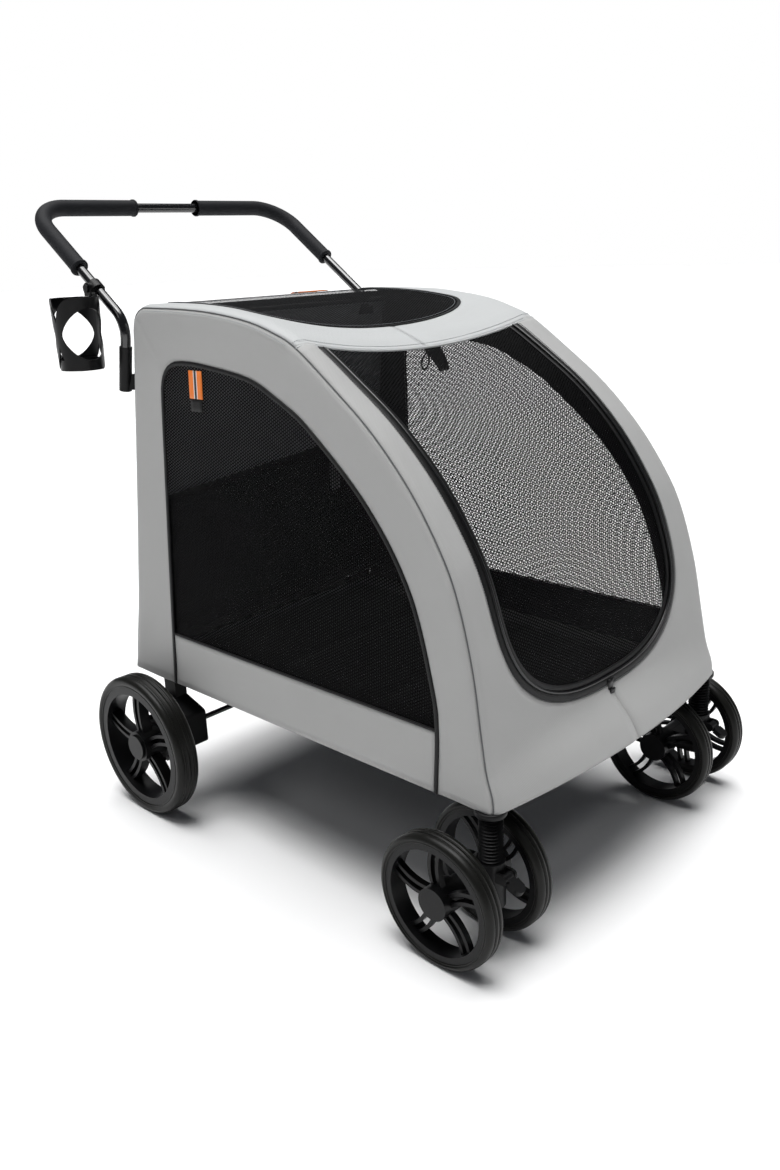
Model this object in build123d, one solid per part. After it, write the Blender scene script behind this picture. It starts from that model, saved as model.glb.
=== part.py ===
from build123d import *
import math
import os

# Pet stroller: a folding steel frame on two large rear wheels and two sprung twin-wheel casters,
# a cloth cabin with mesh windows, and a U-shaped push handle.
# Everything is drawn about the rear axle, which lies along X at y = 0. The front is -Y, and the
# ground is z = 0. save() moves it all so that the middle of the footprint is the origin.

# ---------------------------------------------------------------- sizes (millimetres)
# the cabin's width, and what stands how far in or out from its lower edge
hem_half_width = 297.0
cloth = 2.0
frame_tube_radius = 9.5
tube_wall = 1.5
handle_tube_radius = 8.0
rail_cloth_gap = 4.5
arch_inset = 46.0
post_arch_gap = 2.0
handle_arch_gap = 3.0
rail_x = hem_half_width - cloth - frame_tube_radius - rail_cloth_gap
arch_x = hem_half_width - arch_inset
post_x = arch_x - 2 * frame_tube_radius - post_arch_gap
handle_x = arch_x + frame_tube_radius + handle_tube_radius + handle_arch_gap
# rear wheels
rear_wheel_radius = 120.65
rear_tyre_width = 40.0
wheel_cloth_gap = 30.7
rear_track_half = hem_half_width + wheel_cloth_gap + rear_tyre_width / 2
rear_tyre_depth = 16.0
rear_rim_depth = 13.0
rear_hub_radius = 26.0
rear_cap_radius = 21.0
rear_cap_stand = 4.8
# front wheels, two on each caster
front_wheel_radius = 95.25
front_tyre_width = 31.0
front_wheel_offset = 53.7
front_tyre_depth = 11.5
front_rim_depth = 9.0
front_hub_radius = 23.0
# what all the wheels share
tyre_shoulder = 9.0
tyre_shoulder_share = 0.8
tyre_groove = 0.9
tyre_groove_pitch = 6.0
rim_inset = 2.0
spoke_pairs = 5
spoke_width = 5.5
spoke_pair_gap = 7.5
spoke_bend = 7.0
spoke_inset = 11.0
running_gap = 0.08
# casters
caster_inset = 0.5
caster_x = rail_x - caster_inset
caster_y = -680.3
caster_trail = 42.4
stem_radius = 8.0
stem_bottom_z = 104.0
bellows_radius = 16.5
bellows_bottom_z = 148.0
bellows_top_z = 212.0
bellows_ribs = 13
bellows_wall = 2.2
bellows_depth = 3.2
socket_radius = 12.5
socket_bottom_z = 215.0
socket_height = 30.0
socket_lip = 3.0
socket_cloth_gap = 1.0
head_radius = 19.5
head_bottom_z = 82.0
head_top_z = 148.0
head_bridge_width = 40.0
head_boss_radius = 17.0
head_boss_half = 31.0
head_bridge_top = 110.55
caster_travel = 14.0
caster_lever_length = 22.0
caster_lever_radius = 9.5
caster_lever_thick = 8.0
caster_lever_z = 131.0
lever_clear = 1.0
lever_tilt = 30.0
lever_hub_radius = 6.0
lever_hub_half = 7.0
lever_neck_length = 13.2
ear_thick = 4.0
ear_gap = 0.8
ear_radius = 7.0
ear_root_depth = 5.85
washer_radius = 15.0
lever_pin_radius = 3.0
axle_end_cover = 2.0
# base frame
rail_z = 235.0
rail_rear_y = 84.0
mid_crossbar_y = -300.0
pivot_z = 262.0
rear_pivot_y = 77.0
front_pivot_y = -664.0
pivot_pin_radius = 4.0
cheek_thick = 4.0
cheek_gap = 0.6
cheek_half_width = 12.0
pin_head_radius = 6.5
pin_head_height = 2.5
hub_gap = 1.0
axle_depth = 12.0
floor_thick = 5.0
floor_side_gap = 13.0
floor_half_width = rail_x - floor_side_gap
floor_front_y = -640.0
floor_rear_y = 60.0
pad_thick = 12.0
pad_side_gap = 54.0
pad_half_width = floor_half_width - pad_side_gap
pad_inset = 28.0
# rear wheel brackets and brake
rear_axle_radius = 5.0
bracket_lap = 13.0
bracket_wheel_room = 35.7
bracket_inner_x = rail_x - bracket_lap
bracket_outer_x = rear_track_half - bracket_wheel_room
bracket_front_y = -64.0
bracket_rear_y = 20.0
bracket_bottom_z = 106.0
bracket_top_z = 188.0
bracket_neck_half = 15.0
bracket_corner = 8.0
brake_bar_y = -47.0
brake_bar_z = 150.0
brake_bar_radius = 4.5
brake_ring_tip = 42.0
brake_ring_root = 33.5
brake_ring_teeth = 12
brake_ring_thick = 9.0
brake_ring_gap = 11.5
brake_dog_radius = 3.4
brake_dog_reach = 22.0
brake_dog_rest_gap = 2.6
brake_dog_lock_gap = 1.2
brake_arm_thick = 3.5
brake_pedal_inset = 32.0
brake_pedal_x = bracket_inner_x - brake_pedal_inset
brake_pedal_width = 46.0
brake_pedal_arm = 15.3
brake_pedal_thick = 5.0
brake_pedal_reach = 118.0
brake_pedal_length = 30.0
# arch hoop: its bends, as (y, z), from the front pivot up and back over the roof
arch_bends = [(-644.0, 441.0), (-577.0, 581.0), (-464.0, 694.0), (-305.0, 797.0), (-172.0, 816.0)]
arch_rear_y = 2.0
arch_top_z = 816.0
arch_corner = 30.0
# rear posts
post_top_y = 14.5
post_top_z = 786.0
post_crossbar_z = 640.0
post_crossbar_radius = 8.0
post_cap_radius = 10.4
post_cap_height = 12.0
lip_thick = 5.0
lip_rise = 20.0
lip_gap = 0.6
lip_inset = 21.0
lip_x = post_x - lip_inset
lip_half_width = 9.0
latch_low_z = 744.0
latch_height = 22.0
latch_wall = 2.2
latch_rod_radius = 4.0
latch_finger_x = 140.0
latch_finger_width = 14.0
latch_finger_thick = 4.0
latch_travel = 18.0
slide_gap = 0.1
# handle
handle_tube_wall = 1.6
handle_bar_y = 287.3
handle_bar_z = 985.0
handle_corner = 64.0
handle_low = (60.0, 702.0)
handle_knee = (38.0, 805.0)
handle_knee_radius = 45.0
handle_socket_radius = 10.0
handle_socket_length = 70.0
handle_socket_foot = 3.0
lug_thick = 12.0
lug_height = 24.0
lug_rise = 10.0
lug_z = handle_low[1] + lug_rise
lug_collar_wall = 3.0
lug_slot_gap = 3.0
grip_radius = 13.5
grip_inner_x = 67.0
grip_arm_length = 167.0
# cup holder
cup_arm_gap = 52.8
cup_x = handle_x + cup_arm_gap
cup_y = 92.0
cup_z = 791.0
cup_radius = 37.5
cup_foot_radius = 34.5
cup_wall = 2.5
cup_height = 109.0
cup_floor = 3.0
cup_seat_radius = 33.0
cup_bore_radius = 29.5
cup_seat_height = 13.0
cup_foot_ledge = 14.0
cup_oval_height = 78.0
cup_oval_width = 67.2
cup_notch_reach = 36.5
cup_notch_crown = 1.5
cup_hanger_reach = 4.0
cup_clamp_y = 110.0
cup_clamp_radius = 12.5
cup_clamp_shift = 2.0
cup_clamp_width = 16.0
cup_pin_radius = 4.0
cup_ear_radius = 9.0
cup_hanger_round = 8.1
cup_pin_gap = 0.5
# cloth cabin
mesh_thick = 1.2
hem_z = 222.0
side_lean = 0.0447
rear_hem_y = 96.0
rear_top_y = 30.0
rear_top_z = 790.0
roof_rear_y = 16.0
front_hem_y = -697.0
front_hem_bow = 31.0
front_band_z = 289.0
visor_y = -352.0
roof_sag = 26.0
roof_stations = 9
panel_inset = 36.0
panel_half_width = arch_x - panel_inset
panel_front_y = -276.0
panel_rear_y = -8.0
panel_corner = 90.0
panel_thick = 1.2
tube_cover_gap = 1.0
window_bends = [(-199.0, 748.0), (-312.0, 718.0), (-434.0, 636.0), (-527.0, 540.0), (-582.0, 435.0)]
window_low_z = 310.5
window_rear_y = -33.0
window_top_rear_y = -48.6
window_front_y = -604.0
window_rear_corner = 50.0
window_recess = 0.4
door_inset = 33.0
door_half_width = arch_x - door_inset
door_low_z = 295.0
door_high_z = 752.0
door_corner = 92.0
door_gap = 0.8
zip_puller_width = 9.0
zip_puller_length = 24.0
zip_puller_thick = 2.0
zip_slider = 10.0
zip_puller_gap = 1.0
tether_x = 12.0
tether_y = -336.0
tether_width = 20.0
tether_length = 26.0
tether_thick = 1.6
tether_gap = 3.0
snap_width = 14.0
snap_length = 30.0
snap_eye_rise = 10.0
snap_thick = 4.0
snap_gap = 6.0
snap_eye = 4.0

# ---------------------------------------------------------------- places worked out from the sizes
far = 2000.0
rear_axle_z = rear_wheel_radius
front_axle_z = front_wheel_radius
front_axle_y = caster_y + caster_trail
footprint_front = front_axle_y - front_wheel_radius
footprint_rear = handle_bar_y + grip_radius
shift_y = -(footprint_front + footprint_rear) / 2
post_slope = (post_top_y - rear_pivot_y) / (post_top_z - pivot_z)
rail_front_y = caster_y + socket_radius
sides = {"left": -1, "right": 1}

os.makedirs("parts", exist_ok=True)


def save(name, shape):
    """Write one piece to its own STEP file, in the part's frame."""
    solids = shape.solids() if hasattr(shape, "solids") else shape
    moved = [Pos(0, shift_y, 0) * s for s in solids]
    whole = moved[0] if len(moved) == 1 else Compound(children=moved)
    whole.label = name
    export_step(whole, f"parts/{name}.step")


def bar_x(x0, x1, y, z, radius):
    """A round bar along X."""
    return Pos((x0 + x1) / 2, y, z) * Rot(0, 90, 0) * Cylinder(radius, abs(x1 - x0))


def bar_y(x, y0, y1, z, radius):
    """A round bar along Y."""
    return Pos(x, (y0 + y1) / 2, z) * Rot(90, 0, 0) * Cylinder(radius, abs(y1 - y0))


def bar_z(x, y, z0, z1, radius):
    """A round bar along Z."""
    return Pos(x, y, (z0 + z1) / 2) * Cylinder(radius, abs(z1 - z0))


def block(x0, x1, y0, y1, z0, z1):
    """A box between two corners."""
    size = (abs(x1 - x0), abs(y1 - y0), abs(z1 - z0))
    return Pos((x0 + x1) / 2, (y0 + y1) / 2, (z0 + z1) / 2) * Box(*size)


def soft_radii(points, share=0.45):
    """The largest bend radius at each corner that its two runs leave room for."""
    radii = []
    for a, b, c in zip(points, points[1:], points[2:]):
        run_in = Vector(*b) - Vector(*a)
        run_out = Vector(*c) - Vector(*b)
        turn = math.radians(run_in.get_angle(run_out))
        radii.append(share * min(run_in.length, run_out.length) / math.tan(turn / 2))
    return radii


def tube(points, radii, radius, wall=None):
    """A bent tube along straight runs joined by arcs; solid where no wall is given."""
    path = FilletPolyline(*points, radius=radii)
    start = Plane(origin=path @ 0, z_dir=path % 0)
    section = start * Circle(radius)
    if wall:
        section = section - start * Circle(radius - wall)
    return sweep(section, path=path)


def prism_x(points, radii, x0, x1):
    """A prism along X whose outline is given as (y, z) corners, each with its own round."""
    outline = [(x0, y, z) for y, z in points]
    face = make_face(FilletPolyline(*outline, radius=radii, close=True))
    return extrude(face, amount=x1 - x0, dir=(1, 0, 0))


def prism_y(points, radii, y0, y1):
    """A prism along Y whose outline is given as (x, z) corners, each with its own round."""
    outline = [(x, y0, z) for x, z in points]
    face = make_face(FilletPolyline(*outline, radius=radii, close=True))
    return extrude(face, amount=y1 - y0, dir=(0, 1, 0))


def prism_z(points, radii, z0, z1):
    """A prism along Z whose outline is given as (x, y) corners, each with its own round."""
    outline = [(x, y, z0) for x, y in points]
    face = make_face(FilletPolyline(*outline, radius=radii, close=True))
    return extrude(face, amount=z1 - z0, dir=(0, 0, 1))


def offset_points(points, distance):
    """The (y, z) corners of a path, moved outward (to the front and up) by a distance."""
    runs = []
    for (y0, z0), (y1, z1) in zip(points, points[1:]):
        length = math.hypot(y1 - y0, z1 - z0)
        along = ((y1 - y0) / length, (z1 - z0) / length)
        out = (-along[1] * distance, along[0] * distance)
        runs.append(((y0 + out[0], z0 + out[1]), along, (y1 + out[0], z1 + out[1])))
    moved = [runs[0][0]]
    for (p, d, _), (q, e, _) in zip(runs, runs[1:]):
        cross = d[0] * e[1] - d[1] * e[0]
        t = ((q[0] - p[0]) * e[1] - (q[1] - p[1]) * e[0]) / cross
        moved.append((p[0] + d[0] * t, p[1] + d[1] * t))
    moved.append(runs[-1][2])
    return moved


def post_y(z):
    """How far behind the axle a rear post's centre line is at a height."""
    return rear_pivot_y + (z - pivot_z) * post_slope


def wall_x(z):
    """The outside of the cloth cabin's side wall at a height."""
    return hem_half_width - side_lean * (z - hem_z)


# ---------------------------------------------------------------- wheels
def spoke(inner, outer, middle, thick):
    """One curved bar from the hub to the rim, in the plane of the wheel."""
    low = middle - spoke_width / 2
    high = middle + spoke_width / 2
    centre = (inner + outer) / 2
    edges = [
        ThreePointArc((inner, low), (centre, low + spoke_bend), (outer, low)),
        Line((outer, low), (outer, high)),
        ThreePointArc((outer, high), (centre, high + spoke_bend), (inner, high)),
        Line((inner, high), (inner, low)),
    ]
    return extrude(make_face(edges), amount=thick / 2, both=True)


def wheel_rim(radius, width, tyre_depth, rim_depth, hub_radius, hub_in, hub_out):
    """A moulded rim about Z, its outer side up: a ring, a hub and pairs of curved spokes."""
    outer = radius - tyre_depth
    inner = outer - rim_depth
    flange = width - 2 * rim_inset
    ring = Cylinder(outer, flange) - Cylinder(inner, flange)
    rim = ring + Pos(0, 0, (hub_out - hub_in) / 2) * Cylinder(hub_radius, hub_in + hub_out)
    bar_middle = (spoke_width + spoke_pair_gap) / 2
    spoke_thick = width - 2 * spoke_inset
    for number in range(spoke_pairs):
        turn = Rot(0, 0, number * 360 / spoke_pairs)
        for middle in (-bar_middle, bar_middle):
            rim += turn * spoke(hub_radius - spoke_width, outer - rim_depth / 2, middle, spoke_thick)
    return rim


def wheel_tyre(radius, width, depth):
    """A solid tyre about Z with rounded shoulders and fine grooves round its tread."""
    inner = radius - depth
    half = width / 2
    corners = [(inner, 0, -half), (radius, 0, -half), (radius, 0, half), (inner, 0, half)]
    shoulder = min(tyre_shoulder, depth * tyre_shoulder_share)
    outline = FilletPolyline(*corners, radius=[0, shoulder, shoulder, 0], close=True)
    tyre = revolve(make_face(outline), axis=Axis.Z)
    for row in (-1, 0, 1):
        groove = Pos(0, 0, row * tyre_groove_pitch) * Torus(radius, tyre_groove)
        tyre -= groove
    return tyre


def turned_out(shape, side):
    """Turn a piece drawn about Z so that its top faces out, to the left (-1) or right (1)."""
    return Rot(0, 90 * side, 0) * shape


def blind_bore(inner_end, outer_end):
    """The wheel's hole for its axle, closed at the outer end."""
    radius = rear_axle_radius + running_gap
    return Pos(0, 0, (outer_end - inner_end) / 2) * Cylinder(radius, outer_end + inner_end)


rear_hub_in = rear_track_half - bracket_outer_x - brake_arm_thick - hub_gap
rear_hub_out = rear_tyre_width / 2 - rim_inset
front_hub_in = front_wheel_offset - head_boss_half - hub_gap
front_hub_out = front_tyre_width / 2 + hub_gap


# the brake's dog swings about the brake bar, from clear of the toothed ring into one of its gaps
bar_to_axle = math.hypot(brake_bar_y, brake_bar_z - rear_axle_z)
toward_axle = math.degrees(math.atan2(rear_axle_z - brake_bar_z, -brake_bar_y))


def dog_angle(from_axle):
    """The dog arm's direction when the dog's centre is this far from the wheel's axle."""
    top = bar_to_axle**2 + brake_dog_reach**2 - from_axle**2
    return toward_axle + math.degrees(math.acos(top / (2 * bar_to_axle * brake_dog_reach)))


dog_rest = dog_angle(brake_ring_tip + brake_dog_radius + brake_dog_rest_gap)
dog_lock = dog_angle(brake_ring_root + brake_dog_radius + brake_dog_lock_gap)


def dog_bearing(arm_angle):
    """The direction of the dog's centre from the axle, for a direction of its arm."""
    dog_y = brake_bar_y + brake_dog_reach * math.cos(math.radians(arm_angle))
    dog_z = brake_bar_z + brake_dog_reach * math.sin(math.radians(arm_angle)) - rear_axle_z
    return math.degrees(math.atan2(dog_z, dog_y))


tooth_gap_angle = (dog_bearing(dog_angle(brake_ring_tip)) + dog_bearing(dog_lock)) / 2
print("brake turns", round(dog_rest - dog_lock, 3), "degrees")


def brake_ring(side):
    """The toothed ring on a rear wheel's inner side, already turned about X."""
    x0 = side * (rear_track_half - rear_hub_in)
    x1 = x0 + side * brake_ring_thick
    ring = bar_x(x0, x1, 0, 0, brake_ring_tip)
    step = 360 / brake_ring_teeth
    for number in range(brake_ring_teeth):
        length = brake_ring_tip * 2
        gap = Pos((x0 + x1) / 2, brake_ring_root + length / 2, 0)
        gap = gap * Box(brake_ring_thick * 2, length, brake_ring_gap)
        ring -= Rot(tooth_gap_angle + number * step, 0, 0) * gap
    return ring


for side_name, side in sides.items():
    place = Pos(side * rear_track_half, 0, rear_axle_z)
    rim = wheel_rim(
        rear_wheel_radius, rear_tyre_width, rear_tyre_depth, rear_rim_depth,
        rear_hub_radius, rear_hub_in, rear_hub_out,
    )
    cap_middle = rear_hub_out + rear_cap_stand / 2
    rim += Pos(0, 0, cap_middle) * Cylinder(rear_cap_radius, rear_cap_stand)
    rim = place * turned_out(rim, side)
    rim += Pos(0, 0, rear_axle_z) * brake_ring(side)
    rim -= place * turned_out(blind_bore(rear_hub_in, axle_depth + axle_end_cover), side)
    save(f"{side_name}_rear_rim", rim)
    tyre = wheel_tyre(rear_wheel_radius, rear_tyre_width, rear_tyre_depth)
    save(f"{side_name}_rear_tyre", place * turned_out(tyre, side))
    for wheel_name, outward in (("outer", side), ("inner", -side)):
        x = side * caster_x + outward * front_wheel_offset
        place = Pos(x, front_axle_y, front_axle_z)
        rim = wheel_rim(
            front_wheel_radius, front_tyre_width, front_tyre_depth, front_rim_depth,
            front_hub_radius, front_hub_in, front_hub_out,
        )
        rim -= blind_bore(front_hub_in, axle_depth + axle_end_cover)
        save(f"{side_name}_{wheel_name}_front_rim", place * turned_out(rim, outward))
        tyre = wheel_tyre(front_wheel_radius, front_tyre_width, front_tyre_depth)
        save(f"{side_name}_{wheel_name}_front_tyre", place * turned_out(tyre, outward))

# ---------------------------------------------------------------- casters
lever_pivot_y = caster_y - head_radius - lever_hub_radius - lever_clear


def caster_head(x):
    """The moulded body under the bellows: a sleeve for the stem, and a boss for the axle."""
    head = bar_z(x, caster_y, head_bottom_z, head_top_z, head_radius)
    head += bar_x(x - head_boss_half, x + head_boss_half, front_axle_y, front_axle_z, head_boss_radius)
    half = head_bridge_width / 2
    head += block(x - half, x + half, caster_y, front_axle_y, head_bottom_z, head_bridge_top)
    for ear_side in (-1, 1):
        inner = x + ear_side * (lever_hub_half + ear_gap)
        outer = inner + ear_side * ear_thick
        head += bar_x(inner, outer, lever_pivot_y, caster_lever_z, ear_radius)
        low = caster_lever_z - ear_radius
        high = caster_lever_z + ear_radius
        head += block(inner, outer, lever_pivot_y, caster_y - head_radius + ear_root_depth, low, high)
    pin_half = lever_hub_half + ear_gap + ear_thick
    bore_bottom = stem_bottom_z - caster_travel - axle_end_cover
    head -= bar_z(x, caster_y, bore_bottom, head_top_z, stem_radius + running_gap)
    head += bar_x(x - pin_half, x + pin_half, lever_pivot_y, caster_lever_z, lever_pin_radius)
    head -= bar_x(x - far, x + far, front_axle_y, front_axle_z, rear_axle_radius)
    return head


def caster_lever(x):
    """The round-ended foot lever that locks the caster's swivel."""
    reach = caster_lever_length - caster_lever_radius
    paddle = block(-caster_lever_radius, caster_lever_radius, -reach, 0, 0, caster_lever_thick)
    paddle += Pos(0, -reach, caster_lever_thick / 2) * Cylinder(caster_lever_radius, caster_lever_thick)
    paddle = paddle & block(-far, far, -far, -lever_hub_radius / 2, -far, far)
    neck = block(-lever_hub_half, lever_hub_half, -lever_neck_length, 0, 0, caster_lever_thick)
    lever = Pos(0, -lever_hub_radius, -caster_lever_thick / 2) * paddle
    lever += Pos(0, 0, -caster_lever_thick / 2) * neck
    lever = Rot(lever_tilt, 0, 0) * lever
    lever = Pos(x, lever_pivot_y, caster_lever_z) * lever
    lever += bar_x(x - lever_hub_half, x + lever_hub_half, lever_pivot_y, caster_lever_z, lever_hub_radius)
    lever -= bar_x(x - far, x + far, lever_pivot_y, caster_lever_z, lever_pin_radius + running_gap)
    return lever


def bellows(x):
    """A rubber gaiter with even ribs round the stem."""
    rib = (bellows_top_z - bellows_bottom_z) / bellows_ribs
    outside = [(bellows_radius - bellows_depth, 0, bellows_bottom_z)]
    for number in range(bellows_ribs):
        middle = bellows_bottom_z + (number + 0.5) * rib
        outside.append((bellows_radius, 0, middle))
        outside.append((bellows_radius - bellows_depth, 0, bellows_bottom_z + (number + 1) * rib))
    inside = [(r - bellows_wall, 0, z) for r, _, z in reversed(outside)]
    profile = make_face(Polyline(*outside, *inside, close=True))
    return Pos(x, caster_y, 0) * revolve(profile, axis=Axis.Z)


for side_name, side in sides.items():
    x = side * caster_x
    stem_top = socket_bottom_z + socket_height - socket_lip
    stem = bar_z(x, caster_y, stem_bottom_z, stem_top, stem_radius)
    stem += bar_z(x, caster_y, bellows_top_z, socket_bottom_z - ear_gap, washer_radius)
    save(f"{side_name}_caster_stem", stem)
    save(f"{side_name}_caster_bellows", bellows(x))
    save(f"{side_name}_caster_head", caster_head(x))
    save(f"{side_name}_caster_lever", caster_lever(x))
    axle_half = front_wheel_offset + axle_depth
    axle = bar_x(x - axle_half, x + axle_half, front_axle_y, front_axle_z, rear_axle_radius)
    save(f"{side_name}_caster_axle", axle)
    socket = bar_z(x, caster_y, socket_bottom_z, socket_bottom_z + socket_height, socket_radius)
    socket -= bar_z(x, caster_y, socket_bottom_z, stem_top + ear_gap, stem_radius + running_gap)
    save(f"{side_name}_caster_socket", socket)

# ---------------------------------------------------------------- base frame
crossbars = []
for y in (front_pivot_y, mid_crossbar_y, rear_pivot_y):
    inner_end = rail_x - frame_tube_radius
    crossbar = bar_x(-inner_end, inner_end, y, rail_z, frame_tube_radius)
    crossbar -= bar_x(-inner_end, inner_end, y, rail_z, frame_tube_radius - tube_wall)
    for side in sides.values():
        crossbar -= bar_y(side * rail_x, -far, far, rail_z, frame_tube_radius)
        crossbar -= bar_z(side * caster_x, caster_y, 0, far, socket_radius)
    crossbars += crossbar.solids()
save("base_crossbars", crossbars)

for side_name, side in sides.items():
    rail = bar_y(side * rail_x, rail_front_y, rail_rear_y, rail_z, frame_tube_radius)
    rail -= bar_y(side * rail_x, rail_front_y, rail_rear_y, rail_z, frame_tube_radius - tube_wall)
    rail -= bar_z(side * caster_x, caster_y, 0, far, socket_radius)
    save(f"{side_name}_base_rail", rail)


def hinge_cheeks(y, tube_x, tube_radius):
    """The two plates either side of a folding tube's lower end, standing on a crossbar."""
    cheeks = []
    for step in (-1, 1):
        inner = tube_x + step * (tube_radius + cheek_gap)
        outer = inner + step * cheek_thick
        cheek = bar_x(inner, outer, y, pivot_z, cheek_half_width)
        cheek += block(inner, outer, y - cheek_half_width, y + cheek_half_width, rail_z, pivot_z)
        cheek -= bar_x(-far, far, y, rail_z, frame_tube_radius)
        cheek -= bar_x(-far, far, y, pivot_z, pivot_pin_radius)
        cheeks += cheek.solids()
    return cheeks


def hinge_pin(y, tube_x, tube_radius):
    """A headed pin through a tube and its two plates."""
    half = tube_radius + cheek_gap + cheek_thick
    pin = bar_x(tube_x - half, tube_x + half, y, pivot_z, pivot_pin_radius)
    for step in (-1, 1):
        inner = tube_x + step * half
        pin += bar_x(inner, inner + step * pin_head_height, y, pivot_z, pin_head_radius)
    return pin


rear_cheeks = []
front_cheeks = []
pins = []
for side in sides.values():
    rear_cheeks += hinge_cheeks(rear_pivot_y, side * post_x, frame_tube_radius)
    front_cheeks += hinge_cheeks(front_pivot_y, side * arch_x, frame_tube_radius)
    pins.append(hinge_pin(rear_pivot_y, side * post_x, frame_tube_radius))
    pins.append(hinge_pin(front_pivot_y, side * arch_x, frame_tube_radius))
save("rear_hinge_plates", rear_cheeks)
save("front_hinge_plates", front_cheeks)
save("hinge_pins", pins)

floor_z = rail_z + frame_tube_radius
floor_top = floor_z + floor_thick
floor = block(-floor_half_width, floor_half_width, floor_front_y, floor_rear_y, floor_z, floor_top)
save("floor_board", floor)
pad_z = floor_z + floor_thick
pad = block(
    -pad_half_width, pad_half_width, floor_front_y + pad_inset, floor_rear_y - pad_inset,
    pad_z, pad_z + pad_thick,
)
save("floor_pad", pad)

# ---------------------------------------------------------------- rear brackets, axles and brake
axle_pins = []
for side_name, side in sides.items():
    housing = [
        (bracket_front_y, bracket_bottom_z + bracket_corner),
        (bracket_front_y, bracket_top_z - bracket_corner * 2),
        (-bracket_neck_half, bracket_top_z),
        (-bracket_neck_half, rail_z),
        (bracket_neck_half, rail_z),
        (bracket_neck_half, bracket_top_z),
        (bracket_rear_y, bracket_top_z - bracket_corner * 2),
        (bracket_rear_y, bracket_bottom_z),
        (bracket_front_y / 2, bracket_bottom_z),
    ]
    rounds = [bracket_corner, bracket_corner, 0, 0, 0, 0, bracket_corner, bracket_corner, bracket_corner]
    x0, x1 = sorted((side * bracket_inner_x, side * bracket_outer_x))
    bracket = prism_x(housing, rounds, x0, x1)
    neck_x = rail_x + frame_tube_radius
    cut_x = sorted((side * neck_x, side * (bracket_outer_x + hub_gap)))
    bracket -= block(cut_x[0], cut_x[1], -far, far, bracket_top_z, far)
    bracket -= bar_y(side * rail_x, -far, far, rail_z, frame_tube_radius)
    bracket -= bar_x(-far, far, 0, rear_axle_z, rear_axle_radius)
    bracket -= bar_x(-far, far, brake_bar_y, brake_bar_z, brake_bar_radius + running_gap)
    save(f"{side_name}_rear_bracket", bracket)
    axle_tip = side * (rear_track_half + axle_depth)
    axle_pins.append(bar_x(side * bracket_inner_x, axle_tip, 0, rear_axle_z, rear_axle_radius))
save("rear_axles", axle_pins)

brake_half = bracket_outer_x + brake_arm_thick
brake = bar_x(-brake_half, brake_half, brake_bar_y, brake_bar_z, brake_bar_radius)
for side in sides.values():
    arm_x = side * (bracket_outer_x + brake_arm_thick / 2 + hub_gap / 2)
    arm_half = brake_arm_thick / 2
    arm = block(-arm_half, arm_half, 0, brake_dog_reach, -brake_dog_radius, brake_dog_radius)
    arm += Rot(0, 90, 0) * Cylinder(brake_bar_radius + 2 * brake_dog_radius / 2, brake_arm_thick)
    dog_x = side * (rear_track_half - rear_hub_in + brake_ring_thick) - arm_x
    arm += bar_x(0, dog_x, brake_dog_reach, 0, brake_dog_radius)
    brake += Pos(arm_x, brake_bar_y, brake_bar_z) * Rot(dog_rest, 0, 0) * arm
pedal_low = brake_bar_z - brake_pedal_thick / 2
pedal_high = brake_bar_z + brake_pedal_thick / 2
pedal_end = brake_bar_y + brake_pedal_reach
pedal_x0 = brake_pedal_x - brake_pedal_width / 2
pedal_x1 = brake_pedal_x + brake_pedal_width / 2
arm_x0 = brake_pedal_x - brake_pedal_arm / 2
arm_x1 = brake_pedal_x + brake_pedal_arm / 2
brake += block(arm_x0, arm_x1, brake_bar_y, pedal_end, pedal_low, pedal_high)
brake += block(pedal_x0, pedal_x1, pedal_end - brake_pedal_length, pedal_end, pedal_low, pedal_high)
save("brake_bar", brake)

# ---------------------------------------------------------------- arch hoop over the cabin
side_path = [(front_pivot_y, pivot_z), *arch_bends, (arch_rear_y, arch_top_z)]
left_path = [(-arch_x, y, z) for y, z in side_path]
right_path = [(arch_x, y, z) for y, z in reversed(side_path)]
arch_points = left_path + right_path
bend_radii = soft_radii(left_path)
arch_radii = [*bend_radii, arch_corner, arch_corner, *reversed(bend_radii)]
arch = tube(arch_points, arch_radii, frame_tube_radius, tube_wall)
for side in sides.values():
    arch += bar_x(
        side * arch_x - frame_tube_radius, side * arch_x + frame_tube_radius,
        front_pivot_y, pivot_z, frame_tube_radius,
    )
arch -= bar_x(-far, far, front_pivot_y, pivot_z, pivot_pin_radius + running_gap)
save("arch_hoop", arch)

# ---------------------------------------------------------------- rear posts and their latch
def on_post(shape, x, z):
    """Set a piece drawn about Z on a rear post's line, at a height."""
    lean = math.degrees(math.atan(post_slope))
    return Pos(x, post_y(z), z) * Rot(-lean, 0, 0) * shape


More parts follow.
